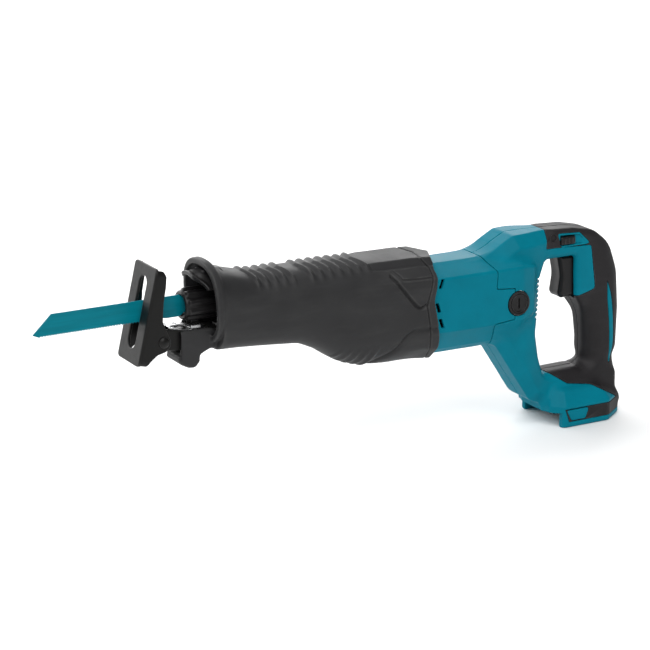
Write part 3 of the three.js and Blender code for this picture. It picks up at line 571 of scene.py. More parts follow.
lower_line = flat_field(smooth_line(LOWER_LINE), closed=False)
RIDGE_LINE = [(206, 24), (222, 18), (236, 6), (240, 2.5), (266, 1.5)]
ridge_line = flat_field(smooth_line(RIDGE_LINE), closed=False)
RIM_SIDE = [
    (30, -110), (274, -110), (274, -56), (267.5, -19), (272.5, 4), (267, 17), (267, 60), (30, 60),
]
rim_side = flat_field(RIM_SIDE)


def drum(p, inset=0.0):
    """The motor housing's barrel: one flat-sided section that follows its stations."""
    x, y, z = p
    half, top, bottom = drum_size(x)
    scale_y = (half - inset) / DRUM_HALF
    scale_z = (top - bottom - 2 * inset) / DRUM_HEIGHT
    middle = (top + bottom) / 2
    section = drum_section(np.abs(y) / scale_y, (z - middle) / scale_z + DRUM_MIDDLE)
    return section * np.minimum(scale_y, scale_z)


def ribs(x, start, end, pitch):
    """A run of moulded ridges, 0 to 1, that dies away at both ends."""
    wave = 0.5 + 0.5 * np.cos((x - start) / pitch * 2 * np.pi)
    return wave**1.5 * ramp(x, start - pitch * 0.45, start) * (1 - ramp(x, end, end + pitch * 0.45))


def boot_skin(p):
    """The outside of the boot, before its openings are cut."""
    x, y, z = p
    side = np.abs(y)
    half, top, bottom = boot_size(x)
    hood = oval(y, z, half, top, bottom, 3.0)
    scale_y, scale_z = half / REAR_HALF, (top - bottom) / REAR_HEIGHT
    cut = rear_section(side / scale_y, (z - (top + bottom) / 2) / scale_z + REAR_MIDDLE)
    cut = cut * np.minimum(scale_y, scale_z)
    body = hood + (cut - hood) * ramp(x + 0.45 * z, 206, 232)
    # finger ridges over the top, in two runs
    slant = x - 0.16 * side
    crown = ramp(z, 4, 15) * (1 - ramp(side, 19, 30))
    body = body - 2.3 * crown * ribs(slant, 98, 132, 8.6)
    body = body - 2.3 * crown * ribs(slant, 150, 206, 9.2)
    # thumb hollow ahead of the gear bulge, and soft ripples under the bulge
    across = ((x - 184) * 0.92 + (z + 25) * -0.38) / 21
    along = ((x - 184) * 0.38 + (z + 25) * 0.92) / 12
    body = body + 2.8 * np.exp(-(across**2 + along**2)) * ramp(side, 18, 30)
    under = ramp(side, 8, 20) * ramp(-z, 50, 60)
    body = body - 1.1 * under * ribs(x - 0.5 * (z + 60), 176, 212, 8.5)
    # panel lines
    outer = ramp(side, 24, 32)
    body = body + groove(slit_line(x, z), 1.5, 2.2) * outer
    body = body + groove(ridge_line(x, z), 0.9, 0.8) * outer
    body = body + groove(lower_line(x, z), 2.4, 2.0) * ramp(side, 12, 22)
    body = body + groove(collar_line(x - 0.1946 * (35 - side), z), 0.8, 1.1)
    lift, lip_top, lip_bottom = lip_size(x)
    lean_back = 0.06 * (38 - z)
    lip = smax(oval(y, z, lift, lip_top, lip_bottom, 2.5), 56.3 - x + lean_back, 1.8)
    lip = smax(lip, x - 78, 1)
    body = smax(body, 66 - x, 1.5)
    return smin(body, lip, 1.6)


MOUTH_STATIONS = [
    [36, 28.6, 32.2, -28],
    [60, 29.2, 32.8, -29],
    [68, 27.6, 26.6, -32],
    [100, 27, 18, -36.8],
]
mouth_size = track(MOUTH_STATIONS, 3)
inner_size = track([[60, 27.8, 24, -36]] + BOOT_STATIONS[1:], 9)


def boot_field(p):
    x, y, z = p
    half, top, bottom = mouth_size(x)
    mouth = smax(oval(y, z, half, top, bottom, 2.5), x - 92, 1)
    half, top, bottom = inner_size(x)
    chamber = smax(oval(y, z, half, top, bottom, 3.0, BOOT_WALL), smax(92 - x, x - 262, 1), 1)
    body = boot_skin(p)
    chamber = smax(chamber, body + 2.6, 1)
    body = smax(body, -smin(mouth, chamber, 1.5), 1.2)
    body = smax(body, -smax(drum(p, -0.3), 258 - x, 0.4), 0.6)
    crest = 0.45 * (35 - np.abs(y)) * ramp(z, 3, 11)
    body = smax(body, rim_side(x - crest, z), 0.8)
    body = smin(body, extruded(tongue_side(x, z), y, 14.6, 2.2), 3.0)
    slot = block(p, (20, -11.3, -39.5), (84, 11.3, -14), 2)
    body = smax(body, -slot, 1.2)
    return smax(body, -pin(x - BUTTON_X, z - BUTTON_Z, y, 3.2, -12.8, 40), 0.5)


boot = surfaced("boot_shell", boot_field, (34, -43, -82), (288, 43, 41), 0.9, 0.4)
fit(boot, "body", "boot_rubber", boot_rubber, "boot")

# ---- motor housing, handle and grip ----------------------------------------------------------

# Side views (x, z): the handle's outer edge and its hand hole, the seam that closes the motor housing
# behind, and the soft cover's edge.
HANDLE_OUTER = [
    (300, -2), (327, 2, 8), (350, 15.5, 14), (363, 22.3, 10), (378, 22.6, 10), (405, 21.8, 40),
    (431, 20.3, 30), (454, 15.5, 30), (476, -1, 36), (484.5, -26, 50), (487, -62, 60),
    (486, -100, 60), (482, -124, 20), (482, -138, 8), (484, -146), (484, -150), (400, -150),
    (398, -142, 10), (384, -137, 16), (371, -117, 40), (345, -77, 20), (335, -70), (300, -62),
]
HAND_HOLE = [
    (392, -20, 8), (398.5, -6, 6), (432.5, -6, 4), (433.5, -44, 4), (438, -51, 8), (445.5, -64, 30),
    (448, -90, 40), (448, -110, 8), (441, -114, 5), (399, -114.5, 4), (392, -95, 30),
    (387.3, -72, 22), (390, -50, 30),
]
SEAM = [
    (240, 60), (317, 60), (319, 18, 4), (329, 9, 10), (334.5, -4, 4), (333.5, -18.5, 2),
    (353, -20.5), (353, -49), (332, -51, 1.5), (338, -70), (341, -110), (240, -110),
]
SKIN = [
    (396, 45), (400.5, 24, 4), (398, 5, 2), (449, 2.5, 3), (454.5, -39.5, 4), (432, -45.5, 4),
    (421, -60), (421, -100), (396, -104), (396, -109, 1), (400, -112, 3), (409, -116, 4),
    (424, -126, 6), (447, -129, 8), (466, -139.5, 6), (478, -146.5), (520, -146.5), (520, 45),
]

handle_outer = flat_field(fillet(HANDLE_OUTER), margin=30)
hand_hole = flat_field(fillet(HAND_HOLE), margin=30)
seam_side = flat_field(fillet(SEAM), margin=30)
skin_side = flat_field(fillet(SKIN), margin=30)
# Side views of the foot's black band and of the window in it.
BAND = [(412, -145.2), (490, -145.2), (490, -157.5), (416, -157.5)]
foot_band = flat_field(BAND)
WINDOW = [(414.5, -147), (437, -147, 1.5), (433.5, -155.8, 1.5), (419, -155.8, 1.5)]
foot_window = flat_field(fillet(WINDOW))


def strut_half(x, z):
    """Half width of the D handle at each place of its side view."""
    low = ramp(-z, 112, 146) * (1 - ramp(x, 448, 478))
    front = 1 - ramp(x, 372, 410)
    return 16.8 + front * 8.9 + low * (13.2 - front * 8.9) * 0.4


def handle_body(p):
    x, y, z = p
    outer = handle_outer(x, z)
    flat = smax(outer, -hand_hole(x, z), 1.5)
    half = strut_half(x, z)
    grip = ramp(x, 436, 452) * (1 - ramp(-z, 108, 126)) * ramp(-z, -24, 14)
    r = 5.5 + 10.0 * grip + 4.0 * ramp(-z, 98, 110) * (1 - ramp(-z, 118, 126)) * ramp(x, 396, 406)
    side = np.abs(y) - half
    body = extruded(flat, y, half, r)
    # long slanted bevels on the outside of the strut and over the arm
    front = 1 - ramp(x, 392, 430)
    bevel = outer * 0.62 + side * 0.78 + 6.6
    return np.where(front > 0.01, smax(body, bevel - (1 - front) * 12, 1.2), body)


RAIL_TOP, FOOT_FLOOR = -149.0, -145.5  # the battery channel's roof, and the casing's floor above it
FOOT_PLAN = [
    (400, -26, 3), (412, -36, 6), (460, -36, 8), (484, -18, 12), (484, 18, 12), (460, 36, 8),
    (412, 36, 6), (400, 26, 3),
]
CHANNEL_PLAN = [
    (370, -28.5), (461, -28.5, 3), (472, -12, 3), (472, 12, 3), (461, 28.5, 3), (370, 28.5),
]
foot_plan = flat_field(fillet(FOOT_PLAN))
channel_plan = flat_field(fillet(CHANNEL_PLAN))


def foot_body(p):
    x, y, z = p
    plan = foot_plan(x, y)
    lean = np.maximum(0, z + 143) * 0.62
    rise = extruded(plan + lean, z + 146, 17, 2.5)
    toe = (398.5 - x) + np.maximum(0, -146 - z) * 0.55
    top = z + 124 + np.maximum(0, x - 447) * 0.62
    body = smax(smax(rise, toe, 3), top, 6)
    return smax(body, -smax(x - 409.5, z - RAIL_TOP, 1), 1)


def whole_body(p):
    """Barrel, handle and foot as one solid."""
    x = p[0]
    barrel = smax(smax(drum(p), 262 - x, 1), x - 384, 10)
    body = smin(barrel, handle_body(p), 6.0)
    return smin(body, foot_body(p), 9.0)


AIR_SLOTS = [-21 - 4.4 * i for i in range(9)]  # their heights in the hand hole's front wall
CAP_X, CAP_Z, CAP_BORE = 357.0, -34.7, 11.7  # brush caps
HOUSING_WALL, HANDLE_WALL, COVER_THICK = 2.8, 5.1, 2.1
SCREWS = [(352, 6), (402, 9), (455, -58), (366, -66), (474, -134)]


def whole_skin(p):
    """The casing's outside with its air slots, screw pockets, one round recess and the battery channel."""
    x, y, z = p
    body = whole_body(p)
    for v in AIR_SLOTS:
        slot = np.hypot(np.minimum(x - 386.2 - 0.1 * min(v + 50, 0), 0), z - v) - 1.4
        body = smax(body, -smax(slot, x - 400, 0.4), 0.4)
    for u, v in SCREWS:
        body = smax(body, -pin(x - u, z - v, y, 4.0, 11.5, 60), 0.4)
    body = smax(body, -pin(x - 407, z - 14, y, 3.4, -60, -15.6), 0.4)
    channel = smax(channel_plan(x, y), z - RAIL_TOP, 0.6)
    return smax(body, -channel, 0.6)


def cap_bore(p):
    x, y, z = p
    return pin(x - CAP_X, z - CAP_Z, y, CAP_BORE, -60, 60)


def hollow(p, wall):
    """The space inside the casing."""
    return smax(whole_body(p) + wall, FOOT_FLOOR - p[2], 1)


def motor_housing_field(p):
    x, y, z = p
    body = smax(whole_skin(p), seam_side(x, z) + 0.3, 0.5)
    inner = smin(hollow(p, HOUSING_WALL), np.hypot(y, z + 35) - 29.6, 0.8)
    body = smax(body, -inner, 0.6)
    body = smax(body, 264 - x, 0.5)
    body = smax(body, -cap_bore(p), 0.5)
    for u, v, tilt in ((276.4, -6, -0.35), (273.4, -27.5, 0.3), (276.6, -42, 0.3)):
        du, dv = x - u + (z - v) * tilt, z - v
        vent = np.maximum(np.abs(du) - 1.5, np.abs(dv) - 4.3)
        body = smax(body, -extruded(vent, np.abs(y) - 40, 14, 0.4), 0.4)
    return body


def trigger_window(p):
    return block(p, (396, -11.2, -47.2), (446, 11.2, -4.2), 1.5)


LOCK_X, LOCK_Z = 423.0, 10.0
FRAME_SIDE = flat_field(fillet([(411.5, 17.5, 2), (436, 16, 3), (449, 3.8, 2.5), (416.5, 4, 2)]))


def lock_window(p):
    x, y, z = p
    return extruded(np.maximum(np.abs(x - LOCK_X) - 8.5, np.abs(z - LOCK_Z) - 4.3), y, 60, 0.5)


def lock_recess(p):
    """A shallow pan round the lock-off button, whose floor ramps up behind it."""
    x, y, z = p
    floor = 14.6 + 2.4 * ramp(x, 430, 444)
    return smax(FRAME_SIDE(x, z) + 1.7, floor - np.abs(y), 0.4)


def skin_zone(p):
    """Negative where the black grip cover or the foot's black band is the outer layer."""
    x, y, z = p
    zone = skin_side(x, z)
    window = np.maximum(FRAME_SIDE(x, z), 4 - np.abs(y))
    sliver = flat_sliver(x + 0.35 * (np.abs(y) - 8), z)
    zone = np.maximum(zone, -window)
    return np.maximum(zone, -np.maximum(sliver, 6 - np.abs(y)))


# The narrow strip of casing that shows along the back of the grip.
SLIVER = [
    (471, -34), (476, -50), (479, -75), (479.5, -95), (476.5, -112), (474.5, -112), (475, -98),
    (474, -75), (471.5, -52),
]
flat_sliver = flat_field(smooth_line(SLIVER), margin=20)


def band_zone(p):
    """Negative in the foot's black band, outside its window."""
    x, y, z = p
    inner = 24 - np.abs(y) - ramp(x, 466, 476) * 60
    return np.maximum(np.maximum(foot_band(x, z), -(foot_window(x, z) - 0.8)), inner)


def handle_field(side):
    def field(p):
        x, y, z = p
        skin = whole_skin(p)
        cover = np.minimum(skin_zone(p), band_zone(p))
        panel = skin + (COVER_THICK + 0.2) * (1 - ramp(cover, -0.3, 0.35))
        body = smax(panel, -(seam_side(x, z) - 0.3), 0.5)
        body = smax(body, -hollow(p, HANDLE_WALL), 0.6)
        body = smax(body, -cap_bore(p), 0.5)
        body = smax(body, -trigger_window(p), 0.5)
        body = smax(smax(body, -lock_window(p), 0.5), -lock_recess(p), 0.5)
        return smax(body, -side * y + 0.2, 0.45)

    return field


def cover_field(side):
    def field(p):
        skin = whole_skin(p)
        body = smax(skin, -(skin + COVER_THICK), 0.3)
        zone = np.minimum(skin_zone(p), band_zone(p))
        body = smax(body, zone + 0.15, 0.6)
        body = smax(body, -trigger_window(p), 0.5)
        body = smax(smax(body, -lock_window(p), 0.5), -lock_recess(p), 0.5)
        return smax(body, -side * p[1] + 0.2, 0.45)

    return field


housing = surfaced("motor_shell", motor_housing_field, (262, -41, -80), (360, 41, 42), 1.0, 0.45)
fit(housing, "body", "housing_plastic", housing_plastic, "motor_housing")
for name, side in (("left", -1), ("right", 1)):
    y_low, y_high = (-41, 0) if side < 0 else (0, 41)
    low, high = (314, y_low, -165), (490, y_high, 32)
    half = surfaced(f"handle_shell_{name}", handle_field(side), low, high, 0.9, 0.42)
    fit(half, "body", "housing_plastic", housing_plastic, f"handle_{name}")
    low, high = (392, y_low, -160), (491, y_high, 32)
    cover = surfaced(f"grip_skin_{name}", cover_field(side), low, high, 0.8, 0.45)
    fit(cover, "body", "grip_rubber", grip_rubber, f"grip_cover_{name}")

# ---- blade and clamp -------------------------------------------------------------------------

BLADE_TIP, BLADE_REAR, BLADE_HALF, BLADE_THICK = -96.0, 56.0, 9.5, 1.3
TOOTH_PITCH, TOOTH_DEPTH = 2.5, 1.1


def blade_outline():
    """Side view of the blade: raked teeth along the bottom, a clipped nose and a forked tang."""
    edge, root = -BLADE_HALF, -BLADE_HALF + TOOTH_DEPTH
    points = [
        (BLADE_TIP + 17, BLADE_HALF), (BLADE_TIP + 0.4, edge + 3.2), (BLADE_TIP, edge + 2.6),
        (BLADE_TIP + 3.5, root),
    ]
    for x in np.arange(BLADE_TIP + 6, 20, TOOTH_PITCH):
        points += [(x, edge), (x + 0.25, edge), (x + 0.9, root), (x + 1.5, root)]
    fork = [(38, BLADE_HALF), (43, 6), (BLADE_REAR, 6), (BLADE_REAR, 2.6), (50, 2.6), (47.6, 1)]
    points += [(26, edge), *[(x, -z) for x, z in fork], *fork[::-1]]
    return np.array(points, float)


def sheet_mesh(name, points, half, chamfer):
    """A flat sheet cut to an outline in X and Z, its rims chamfered, as one closed mesh."""
    before, after = np.roll(points, 1, 0), np.roll(points, -1, 0)
    run_in = (points - before) / np.linalg.norm(points - before, axis=1)[:, None]
    run_out = (after - points) / np.linalg.norm(after - points, axis=1)[:, None]
    inward = np.stack([-(run_in + run_out)[:, 1], (run_in + run_out)[:, 0]], 1)
    inward /= np.linalg.norm(inward, axis=1)[:, None] + 1e-6
    area = np.sum(points[:, 0] * after[:, 1] - after[:, 0] * points[:, 1])
    inner = points + inward * chamfer * np.sign(area)
    rings = [(inner, -half), (points, chamfer - half), (points, half - chamfer), (inner, half)]
    v = np.concatenate([np.stack([ring[:, 0], np.full(len(ring), y), ring[:, 1]], 1) for ring, y in rings])
    n = len(points)
    faces = [list(range(n)), [3 * n + i for i in reversed(range(n))]]
    for level in range(3):
        for i in range(n):
            j = (i + 1) % n
            faces.append([level * n + j, level * n + i, (level + 1) * n + i, (level + 1) * n + j])
    mesh = bare_mesh(name, (v + ORIGIN) / MM, faces)
    obj = bpy.data.objects.new(name, mesh)
    bpy.context.scene.collection.objects.link(obj)
    return obj


blade = sheet_mesh("saw_blade", blade_outline(), BLADE_THICK / 2, 0.12)
fit(blade, "plunger", "blade_paint", blade_paint, "blade")


def holder_field(p):
    """The blade's socket, slotted for the tang and bored for the clamp pin."""
    x, y, z = p
    body = pin(y, z, x, 9.5, 43, 59.6, 0.9)
    body = smax(body, -block(p, (30, -0.95, -6.4), (57, 0.95, 6.4), 0.1), 0.2)
    body = smax(body, -block(p, (30, -0.95, -12), (44.4, 0.95, 12), 0.1), 0.2)
    return smax(body, -(np.hypot(x - 50, z) - 2.5), 0.3)


def sleeve_field(p):
    """Ribbed collar with a tapered nose."""
    x, y, z = p
    r = np.hypot(y, z)
    turn = np.arctan2(z, y) * 9
    rib = np.clip(0.5 + 0.62 * np.cos(turn), 0, 1) ** 0.7
    body = extruded(r - 12.6 - 1.9 * rib * ramp(x, 40.5, 43), x - 56, 17, 1.2)
    body = smax(body, (r - 13.2) * 0.75 + (40.5 - x) * 0.66, 0.8)
    body = body + groove(x - 70.5, 0.9, 1.2)
    bore = np.where(x < 43, 9.4, 10.2)
    return smax(body, bore - r, 0.5)


holder = surfaced("clamp_holder", holder_field, (42, -11, -11), (61, 11, 11), 0.45, 0.5)
fit(holder, "plunger", "bright_steel", bright_steel, "blade_holder")
sleeve = surfaced("ribbed_sleeve", sleeve_field, (38, -15.5, -15.5), (74, 15.5, 15.5), 0.45, 0.5)
fit(sleeve, "clamp", "black_plastic", black_plastic, "clamp_sleeve")

# ---- shoe, its pin, bar and spring -------------------------------------------------------------

LEAN = np.radians(13.2)
SHOE_HALF, SHOE_FRONT, SHOE_BEND = 22.4, -1.4, 3.2
SHOE_TOP, SHOE_FOOT = 41.5, -43.8
SLOT_REACH, SLOT_RADIUS = 24.2, 7.2
PIN_X, PIN_Z = 13.0, -23.5
# Side view of the shoe before it leans back: the face is at SHOE_FRONT, the flanges widen round the pin.
SHOE_SIDE = [
    (SHOE_FRONT, SHOE_TOP), (4.8, SHOE_TOP, 3.5), (8.9, 36, 4), (10.2, 27), (10.7, 14.3, 9),
    (12.4, 3.3, 9), (13.6, -3, 6), (19.6, -11.4, 8), (24, -17, 5), (25.1, -23.2, 5), (21.7, -28, 5),
    (14.5, -31.5, 6), (9.5, -37.5, 5), (6.4, SHOE_FOOT, 2.5), (SHOE_FRONT, SHOE_FOOT),
]
shoe_side = flat_field(fillet(SHOE_SIDE), step=0.4)


def shoe_field(p):
    """A bent sheet: a slotted face between two flanges, leaning back."""
    x, y, z = p
    u = x * np.cos(LEAN) - z * np.sin(LEAN)
    w = x * np.sin(LEAN) + z * np.cos(LEAN)
    du = np.maximum(SHOE_BEND + SHOE_FRONT - u, 0)
    dy = np.maximum(np.abs(y) - SHOE_HALF + SHOE_BEND, 0)
    channel = np.where(du > 0, np.hypot(du, dy) - SHOE_BEND, np.abs(y) - SHOE_HALF)
    sheet = np.abs(channel + 1.5) - 1.5
    body = smax(sheet, shoe_side(u, w), 1.0)
    face = block((y, w, u), (-SHOE_HALF, SHOE_FOOT, -90), (SHOE_HALF, SHOE_TOP, 90), 6.5)
    body = smax(body, face, 0.9)
    slot = np.hypot(y, np.maximum(np.abs(w) - SLOT_REACH, 0)) - SLOT_RADIUS
    body = smax(body, -smax(slot, u - 6, 0.3), 0.8)
    return smax(body, -(np.hypot(x - PIN_X, z - PIN_Z) - 4.3), 0.3)


def shoe_pin_field(p):
    """A rivet: a plain shank between two domed heads."""
    x, y, z = p
    r = np.hypot(x - PIN_X, z - PIN_Z)
    side = np.abs(y)
    shank = smax(r - 4.0, side - 23, 0.3)
    dome = smax(np.sqrt(r**2 + (side - 18.2) ** 2 + 1e-6) - 6.7, SHOE_HALF + 0.25 - side, 0.25)
    return smin(shank, dome, 0.2)


BAR_SIDE = [
    (20, -16.3, 2), (34, -19.5, 6), (60, -21.5, 10), (140, -21.5, 1), (140, -33.5, 1),
    (60, -33.5, 10), (40, -37, 8), (14, -34.8, 8), (7, -29, 5), (7, -21, 5), (12, -16.3, 3),
]
bar_side = flat_field(fillet(BAR_SIDE), step=0.4)


def bar_field(p):
    """The bar that carries the shoe, with the rack of notches that fixes its reach."""
    x, y, z = p
    body = extruded(bar_side(x, z), y, 10.5, 1.1)
    body = smax(body, -block(p, (12, -6, -24), (31, 6, -10), 1.5), 1.0)
    for at in (70, 78, 86, 94, 102):
        body = smax(body, -block(p, (at, -8, -22.6), (at + 3, 8, -20), 0.4), 0.4)
    return smax(body, -(np.hypot(x - PIN_X, z - PIN_Z) - 4.3), 0.3)


SPRING_LINE = [
    (17.5, -12.2), (20.5, -14.2), (25, -15.9), (31.5, -17.4), (36, -19.2), (44, -20), (61, -20.8),
]
TAB_LINE = [(27, -15.8), (33, -15.5), (40, -16.7), (48, -18.9)]
spring_line = flat_field(smooth_line(SPRING_LINE, 10), closed=False, step=0.3)
tab_line = flat_field(smooth_line(TAB_LINE, 10), closed=False, step=0.3)


def spring_field(p):
    """A bent and pierced spring plate with a raised tongue in its middle."""
    x, y, z = p
    plate = extruded(spring_line(x, z) - 0.6, y, 9.4, 0.35)
    plate = smax(plate, -block(p, (25.5, -5.6, -30), (46, 5.6, 0), 1.5), 0.4)
    plate = smax(plate, -block(p, (10, -12, -30), (23.5, -3.2, 0), 1.2), 0.4)
    tab = extruded(tab_line(x, z) - 0.6, y, 4.4, 0.35)
    tab = smax(tab, -(np.hypot(x - 33, y) - 2.0), 0.3)
    ears = extruded(np.maximum(np.abs(x - 49) - 4.5, np.abs(z + 18.6) - 2.2), np.abs(y) - 9.6, 0.55, 0.4)
    return np.minimum(np.minimum(plate, tab), ears)


shoe = surfaced("shoe_plate", shoe_field, (-13, -23, -47), (24, 23, 44), 0.5, 0.4)
fit(shoe, "shoe_plate", "shoe_steel", shoe_steel, "shoe")
shoe_rivet = surfaced("shoe_rivet", shoe_pin_field, (6, -25.5, -31), (20, 25.5, -16), 0.45, 0.5)
fit(shoe_rivet, "shoe_plate", "shoe_steel", shoe_steel, "shoe_pin")
bar = surfaced("shoe_carrier_bar", bar_field, (6, -11, -38), (141, 11, -15), 0.6, 0.45)
fit(bar, "shoe_carrier", "shoe_steel", shoe_steel, "shoe_bar")
spring = surfaced("spring_plate", spring_field, (17, -10.5, -22.5), (62, 10.5, -11), 0.32, 0.5)
fit(spring, "shoe_carrier", "bright_steel", bright_steel, "bar_spring")


def shoe_button_field(p):
    x, y, z = p
    body = pin(x - BUTTON_X, z - BUTTON_Z, y, 2.8, -9.2, 13.5, 0.9)
    return smax(body, -(np.hypot(np.hypot(x - BUTTON_X, z - BUTTON_Z), np.abs(y) - 15.4) - 2.6), 0.3)


release = surfaced("shoe_release", shoe_button_field, (42, -10, -49), (50, 14.5, -42), 0.4, 0.5)
fit(release, "shoe_button", "black_plastic", black_plastic, "shoe_button")

# ---- nose guard ---------------------------------------------------------------------------------

STRAP_SIDE = [
    (57, 29.4, 1), (63, 29.4, 1), (66, 25.4, 2), (85, 20.4, 2), (93, 18.2), (93, 14), (84, 17.6, 2),
    (64, 22.8, 2), (60, 25.4),
]
strap_side = flat_field(fillet(STRAP_SIDE), step=0.4)
VISOR_MIDDLE, VISOR_HALF = np.radians(9.0), np.radians(49.0)


def guard_field(p):
    """A visor over the clamp, its legs, and the ring that holds it on the gear case."""
    x, y, z = p
    rho = np.hypot(y, z - 2)
    turn = np.arctan2(-y, z - 2)
    away = np.abs(turn - VISOR_MIDDLE) - VISOR_HALF
    front = 46.6 + 8 * ramp(turn, 0.3, 1.05) + 2 * ramp(-turn, 0.4, 0.7)
    thick = 1.15 + 0.7 * np.exp(-(((x - front) / 2.2) ** 2))
    rise = 0.9 * np.exp(-(((x - front) / 3.5) ** 2)) - 0.5
    cone = 24.4 + 0.2 * np.clip(x - 46, 0, 14)
    visor = smax(np.abs(rho - cone - rise) - thick, smax(front - x, x - 76, 0.5), 0.9)
    visor = smax(visor, away * 26, 1.6)
    strap = extruded(strap_side(x, z), y, 8, 1.0)
    ring = smax(np.abs(np.hypot(y, z) - 15.5) - 3.5, np.abs(x - 93.5) - 1.5, 0.6)
    body = smin(smin(visor, strap, 1.2), ring, 0.8)
    for angle in (-0.42, 0.55):
        side_way = y * np.cos(angle) + (z - 2) * np.sin(angle)
        out_way = -y * np.sin(angle) + (z - 2) * np.cos(angle)
        leg = block((x, side_way, out_way), (63, -1.3, 16.2), (93, 1.3, 26), 0.6)
        leg = smax(leg, (out_way - 26) * 0.9 + (x - 70) * 0.36, 0.6)
        body = smin(body, leg, 1.0)
    return body


guard = surfaced("visor", guard_field, (44.5, -29, -20), (97, 29, 31.5), 0.55, 0.45)
fit(guard, "body", "black_plastic", black_plastic, "nose_guard")

# ---- trigger, lock-off button, brush caps, screws -------------------------------------------------

TRIGGER_SIDE = [
    (417.3, -5.3), (437, -5.3), (437, -46), (422, -46.9, 4), (418.6, -42.5, 6), (421.3, -25, 30),
]
trigger_side = flat_field(fillet(TRIGGER_SIDE, 8), step=0.4)


def trigger_field(p):
    x, y, z = p
    body = extruded(trigger_side(x, z), y, 10.5, 1.6)
    # the finger face is a shallow trough between two flat cheeks
    shin = trigger_side(x, z) + np.maximum(0, np.abs(y) - 6.8) * 0.85
    body = smax(body, shin, 0.9)
    return body + 0.35 * ramp(425 - x, 0, 3) * np.exp(-((y / 5.0) ** 2))


def lock_button_field(p):
    """A cross bolt with three ridges on each end."""
    x, y, z = p
    side = np.maximum(np.abs(x - LOCK_X) - 7.9, np.abs(z - LOCK_Z) - 3.7)
    rounded = block(p, (LOCK_X - 7.9, -30, LOCK_Z - 3.7), (LOCK_X + 7.9, 30, LOCK_Z + 3.7), 1.4)
    body = smax(np.maximum(rounded, side), np.abs(y) - 17.6, 1.6)
    crest = np.exp(-(((np.abs(x - LOCK_X) - 4.0) / 0.8) ** 2)) + np.exp(-(((x - LOCK_X) / 0.8) ** 2))
    return body - 0.5 * crest * ramp(np.abs(y), 16, 17.2) * (1 - ramp(np.abs(z - LOCK_Z), 2.0, 3.2))


def brush_cap_field(side):
    """A ringed screw cap with a coin slot."""

    def field(p):
        x, y, z = p
        out = y * side
        r = np.hypot(x - CAP_X, z - CAP_Z)
        body = extruded(r - 11.2, out - 36.8, 1.8, 0.7)
        body = smax(body, -smax(np.abs(r - 8.9) - 0.35, 37.9 - out, 0.2), 0.3)
        body = smax(body, -smax(r - 7.6, 37.9 - out, 0.4), 0.5)
        slot = block((x, out, z), (CAP_X - 0.9, 35.9, CAP_Z - 4.7), (CAP_X + 0.9, 50, CAP_Z + 4.7), 0.4)
        return smax(body, -slot, 0.4)

    return field


trigger = surfaced("trigger_blade", trigger_field, (415, -11.5, -47.5), (438.5, 11.5, -4), 0.5, 0.45)
fit(trigger, "trigger", "black_plastic", black_plastic, "trigger")
lock = surfaced("lock_slider", lock_button_field, (414, -19, 5), (432, 19, 15), 0.45, 0.45)
fit(lock, "lock_button", "black_plastic", black_plastic, "lock_button")
for name, side in (("left", -1), ("right", 1)):
    y_low, y_high = (-39.5, -34.5) if side < 0 else (34.5, 39.5)
    low, high = (345, y_low, -47), (369, y_high, -23)
    cap = surfaced(f"brush_plug_{name}", brush_cap_field(side), low, high, 0.45, 0.45)
    fit(cap, f"brush_cap_{name}", "black_plastic", black_plastic, f"brush_cap_{name}")


def screw_field(u, v):
    """A pan-head screw with a star socket, its head on the far side."""

    def field(p):
        x, y, z = p
        r = np.hypot(x - u, z - v)
        head = smax(np.hypot(r, y - 8.2) - 6.3, 11.8 - y, 0.2)
        head = smax(head, r - 3.6, 0.3)
        shank = smax(r - 1.8, np.abs(y - 1.2) - 11.0, 0.2)
        star = r - 1.25 - 0.35 * np.cos(6 * np.arctan2(z - v, x - u))
        return smax(np.minimum(head, shank), -smax(star, 12.7 - y, 0.1), 0.2)

    return field


for number, (u, v) in enumerate(SCREWS, 1):
    low, high = (u - 4.5, -10.5, v - 4.5), (u + 4.5, 15.5, v + 4.5)
    screw = surfaced(f"casing_screw_{number}", screw_field(u, v), low, high, 0.35, 0.5)
    fit(screw, "body", "screw_steel", screw_steel, f"handle_screw_{number}")

# ---- studio ----------------------------------------------------------------------------------

CAMERA_AT = (-878.0, -1908.1, 615.28)
TURN, DOWN, ROLL = (np.radians(a) for a in (28.991, 16.68, -0.203))


def make_camera():
    forward = np.array([np.cos(DOWN) * np.sin(TURN), np.cos(DOWN) * np.cos(TURN), -np.sin(DOWN)])
    level = np.array([np.cos(TURN), -np.sin(TURN), 0.0])
    rise = np.cross(level, forward)
    right = np.cos(ROLL) * level + np.sin(ROLL) * rise
    up = np.cross(right, forward)
    data = bpy.data.cameras.new("camera")
    data.sensor_width = 36.0
    data.lens = 144.0
    data.clip_end = 50.0
    camera = bpy.data.objects.new("camera", data)
    columns = Matrix([right, up, -forward]).transposed()
    camera.matrix_world = Matrix.Translation(place(*CAMERA_AT)) @ columns.to_4x4()
    bpy.context.scene.collection.objects.link(camera)
    bpy.context.scene.camera = camera


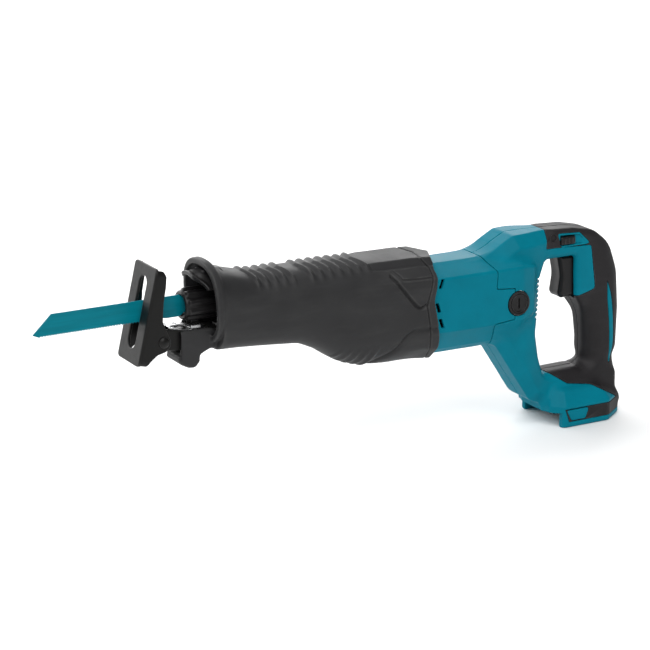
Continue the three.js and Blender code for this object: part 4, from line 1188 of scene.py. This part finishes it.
def make_light(name, at, aim, size, power):
    data = bpy.data.lights.new(name, "AREA")
    data.shape = "RECTANGLE"
    data.size, data.size_y = size
    data.energy = power
    light = bpy.data.objects.new(name, data)
    light.location = at
    light.rotation_euler = (Vector(aim) - Vector(at)).to_track_quat("-Z", "Y").to_euler()
    bpy.context.scene.collection.objects.link(light)


def make_sun(direction, strength):
    data = bpy.data.lights.new("ceiling", "SUN")
    data.energy = strength
    data.angle = np.radians(55)
    light = bpy.data.objects.new("ceiling", data)
    light.rotation_euler = Vector(direction).to_track_quat("-Z", "Y").to_euler()
    bpy.context.scene.collection.objects.link(light)


def make_floor():
    mesh = bpy.data.meshes.new("floor")
    reach = 30.0
    corners = [(-reach, -reach, 0), (reach, -reach, 0), (reach, reach, 0), (-reach, reach, 0)]
    mesh.from_pydata(corners, [], [(0, 1, 2, 3)])
    s = Surface("floor_paper")
    tone = s.mix(s.between(s.noise(3.0), 0.3, 0.7), (0.95, 0.95, 0.95), (0.97, 0.97, 0.97))
    mesh.materials.append(s.done(tone, 0.75, specular=0.2))
    floor = bpy.data.objects.new("floor", mesh)
    bpy.context.scene.collection.objects.link(floor)


def make_world():
    world = bpy.data.worlds.new("studio")
    world.use_nodes = True
    background = world.node_tree.nodes["Background"]
    background.inputs["Color"].default_value = (1.0, 1.0, 1.0, 1.0)
    background.inputs["Strength"].default_value = 0.25
    bpy.context.scene.world = world


make_camera()
make_world()
make_floor()
middle = place(200, 0, -50)
make_light("backdrop", (-0.9, 2.3, 1.0), middle, (3.6, 1.5), 62.0)
make_light("top", (0.1, 0.6, 1.7), middle, (1.8, 0.6), 10.0)
make_light("rim", (1.3, 2.1, 1.0), middle, (1.6, 0.9), 23.0)
make_sun((0.42, 0.8, -1.0), 2.2)
bpy.context.scene.view_settings.view_transform = "Standard"

for name, obj in frame["nodes"].items():
    wanted = {r["node"]: r["material_slot"] for r in frame["record"]["subparts"]}[name]
    obj.data.materials.clear()
    obj.data.materials.append(MATERIAL[wanted])
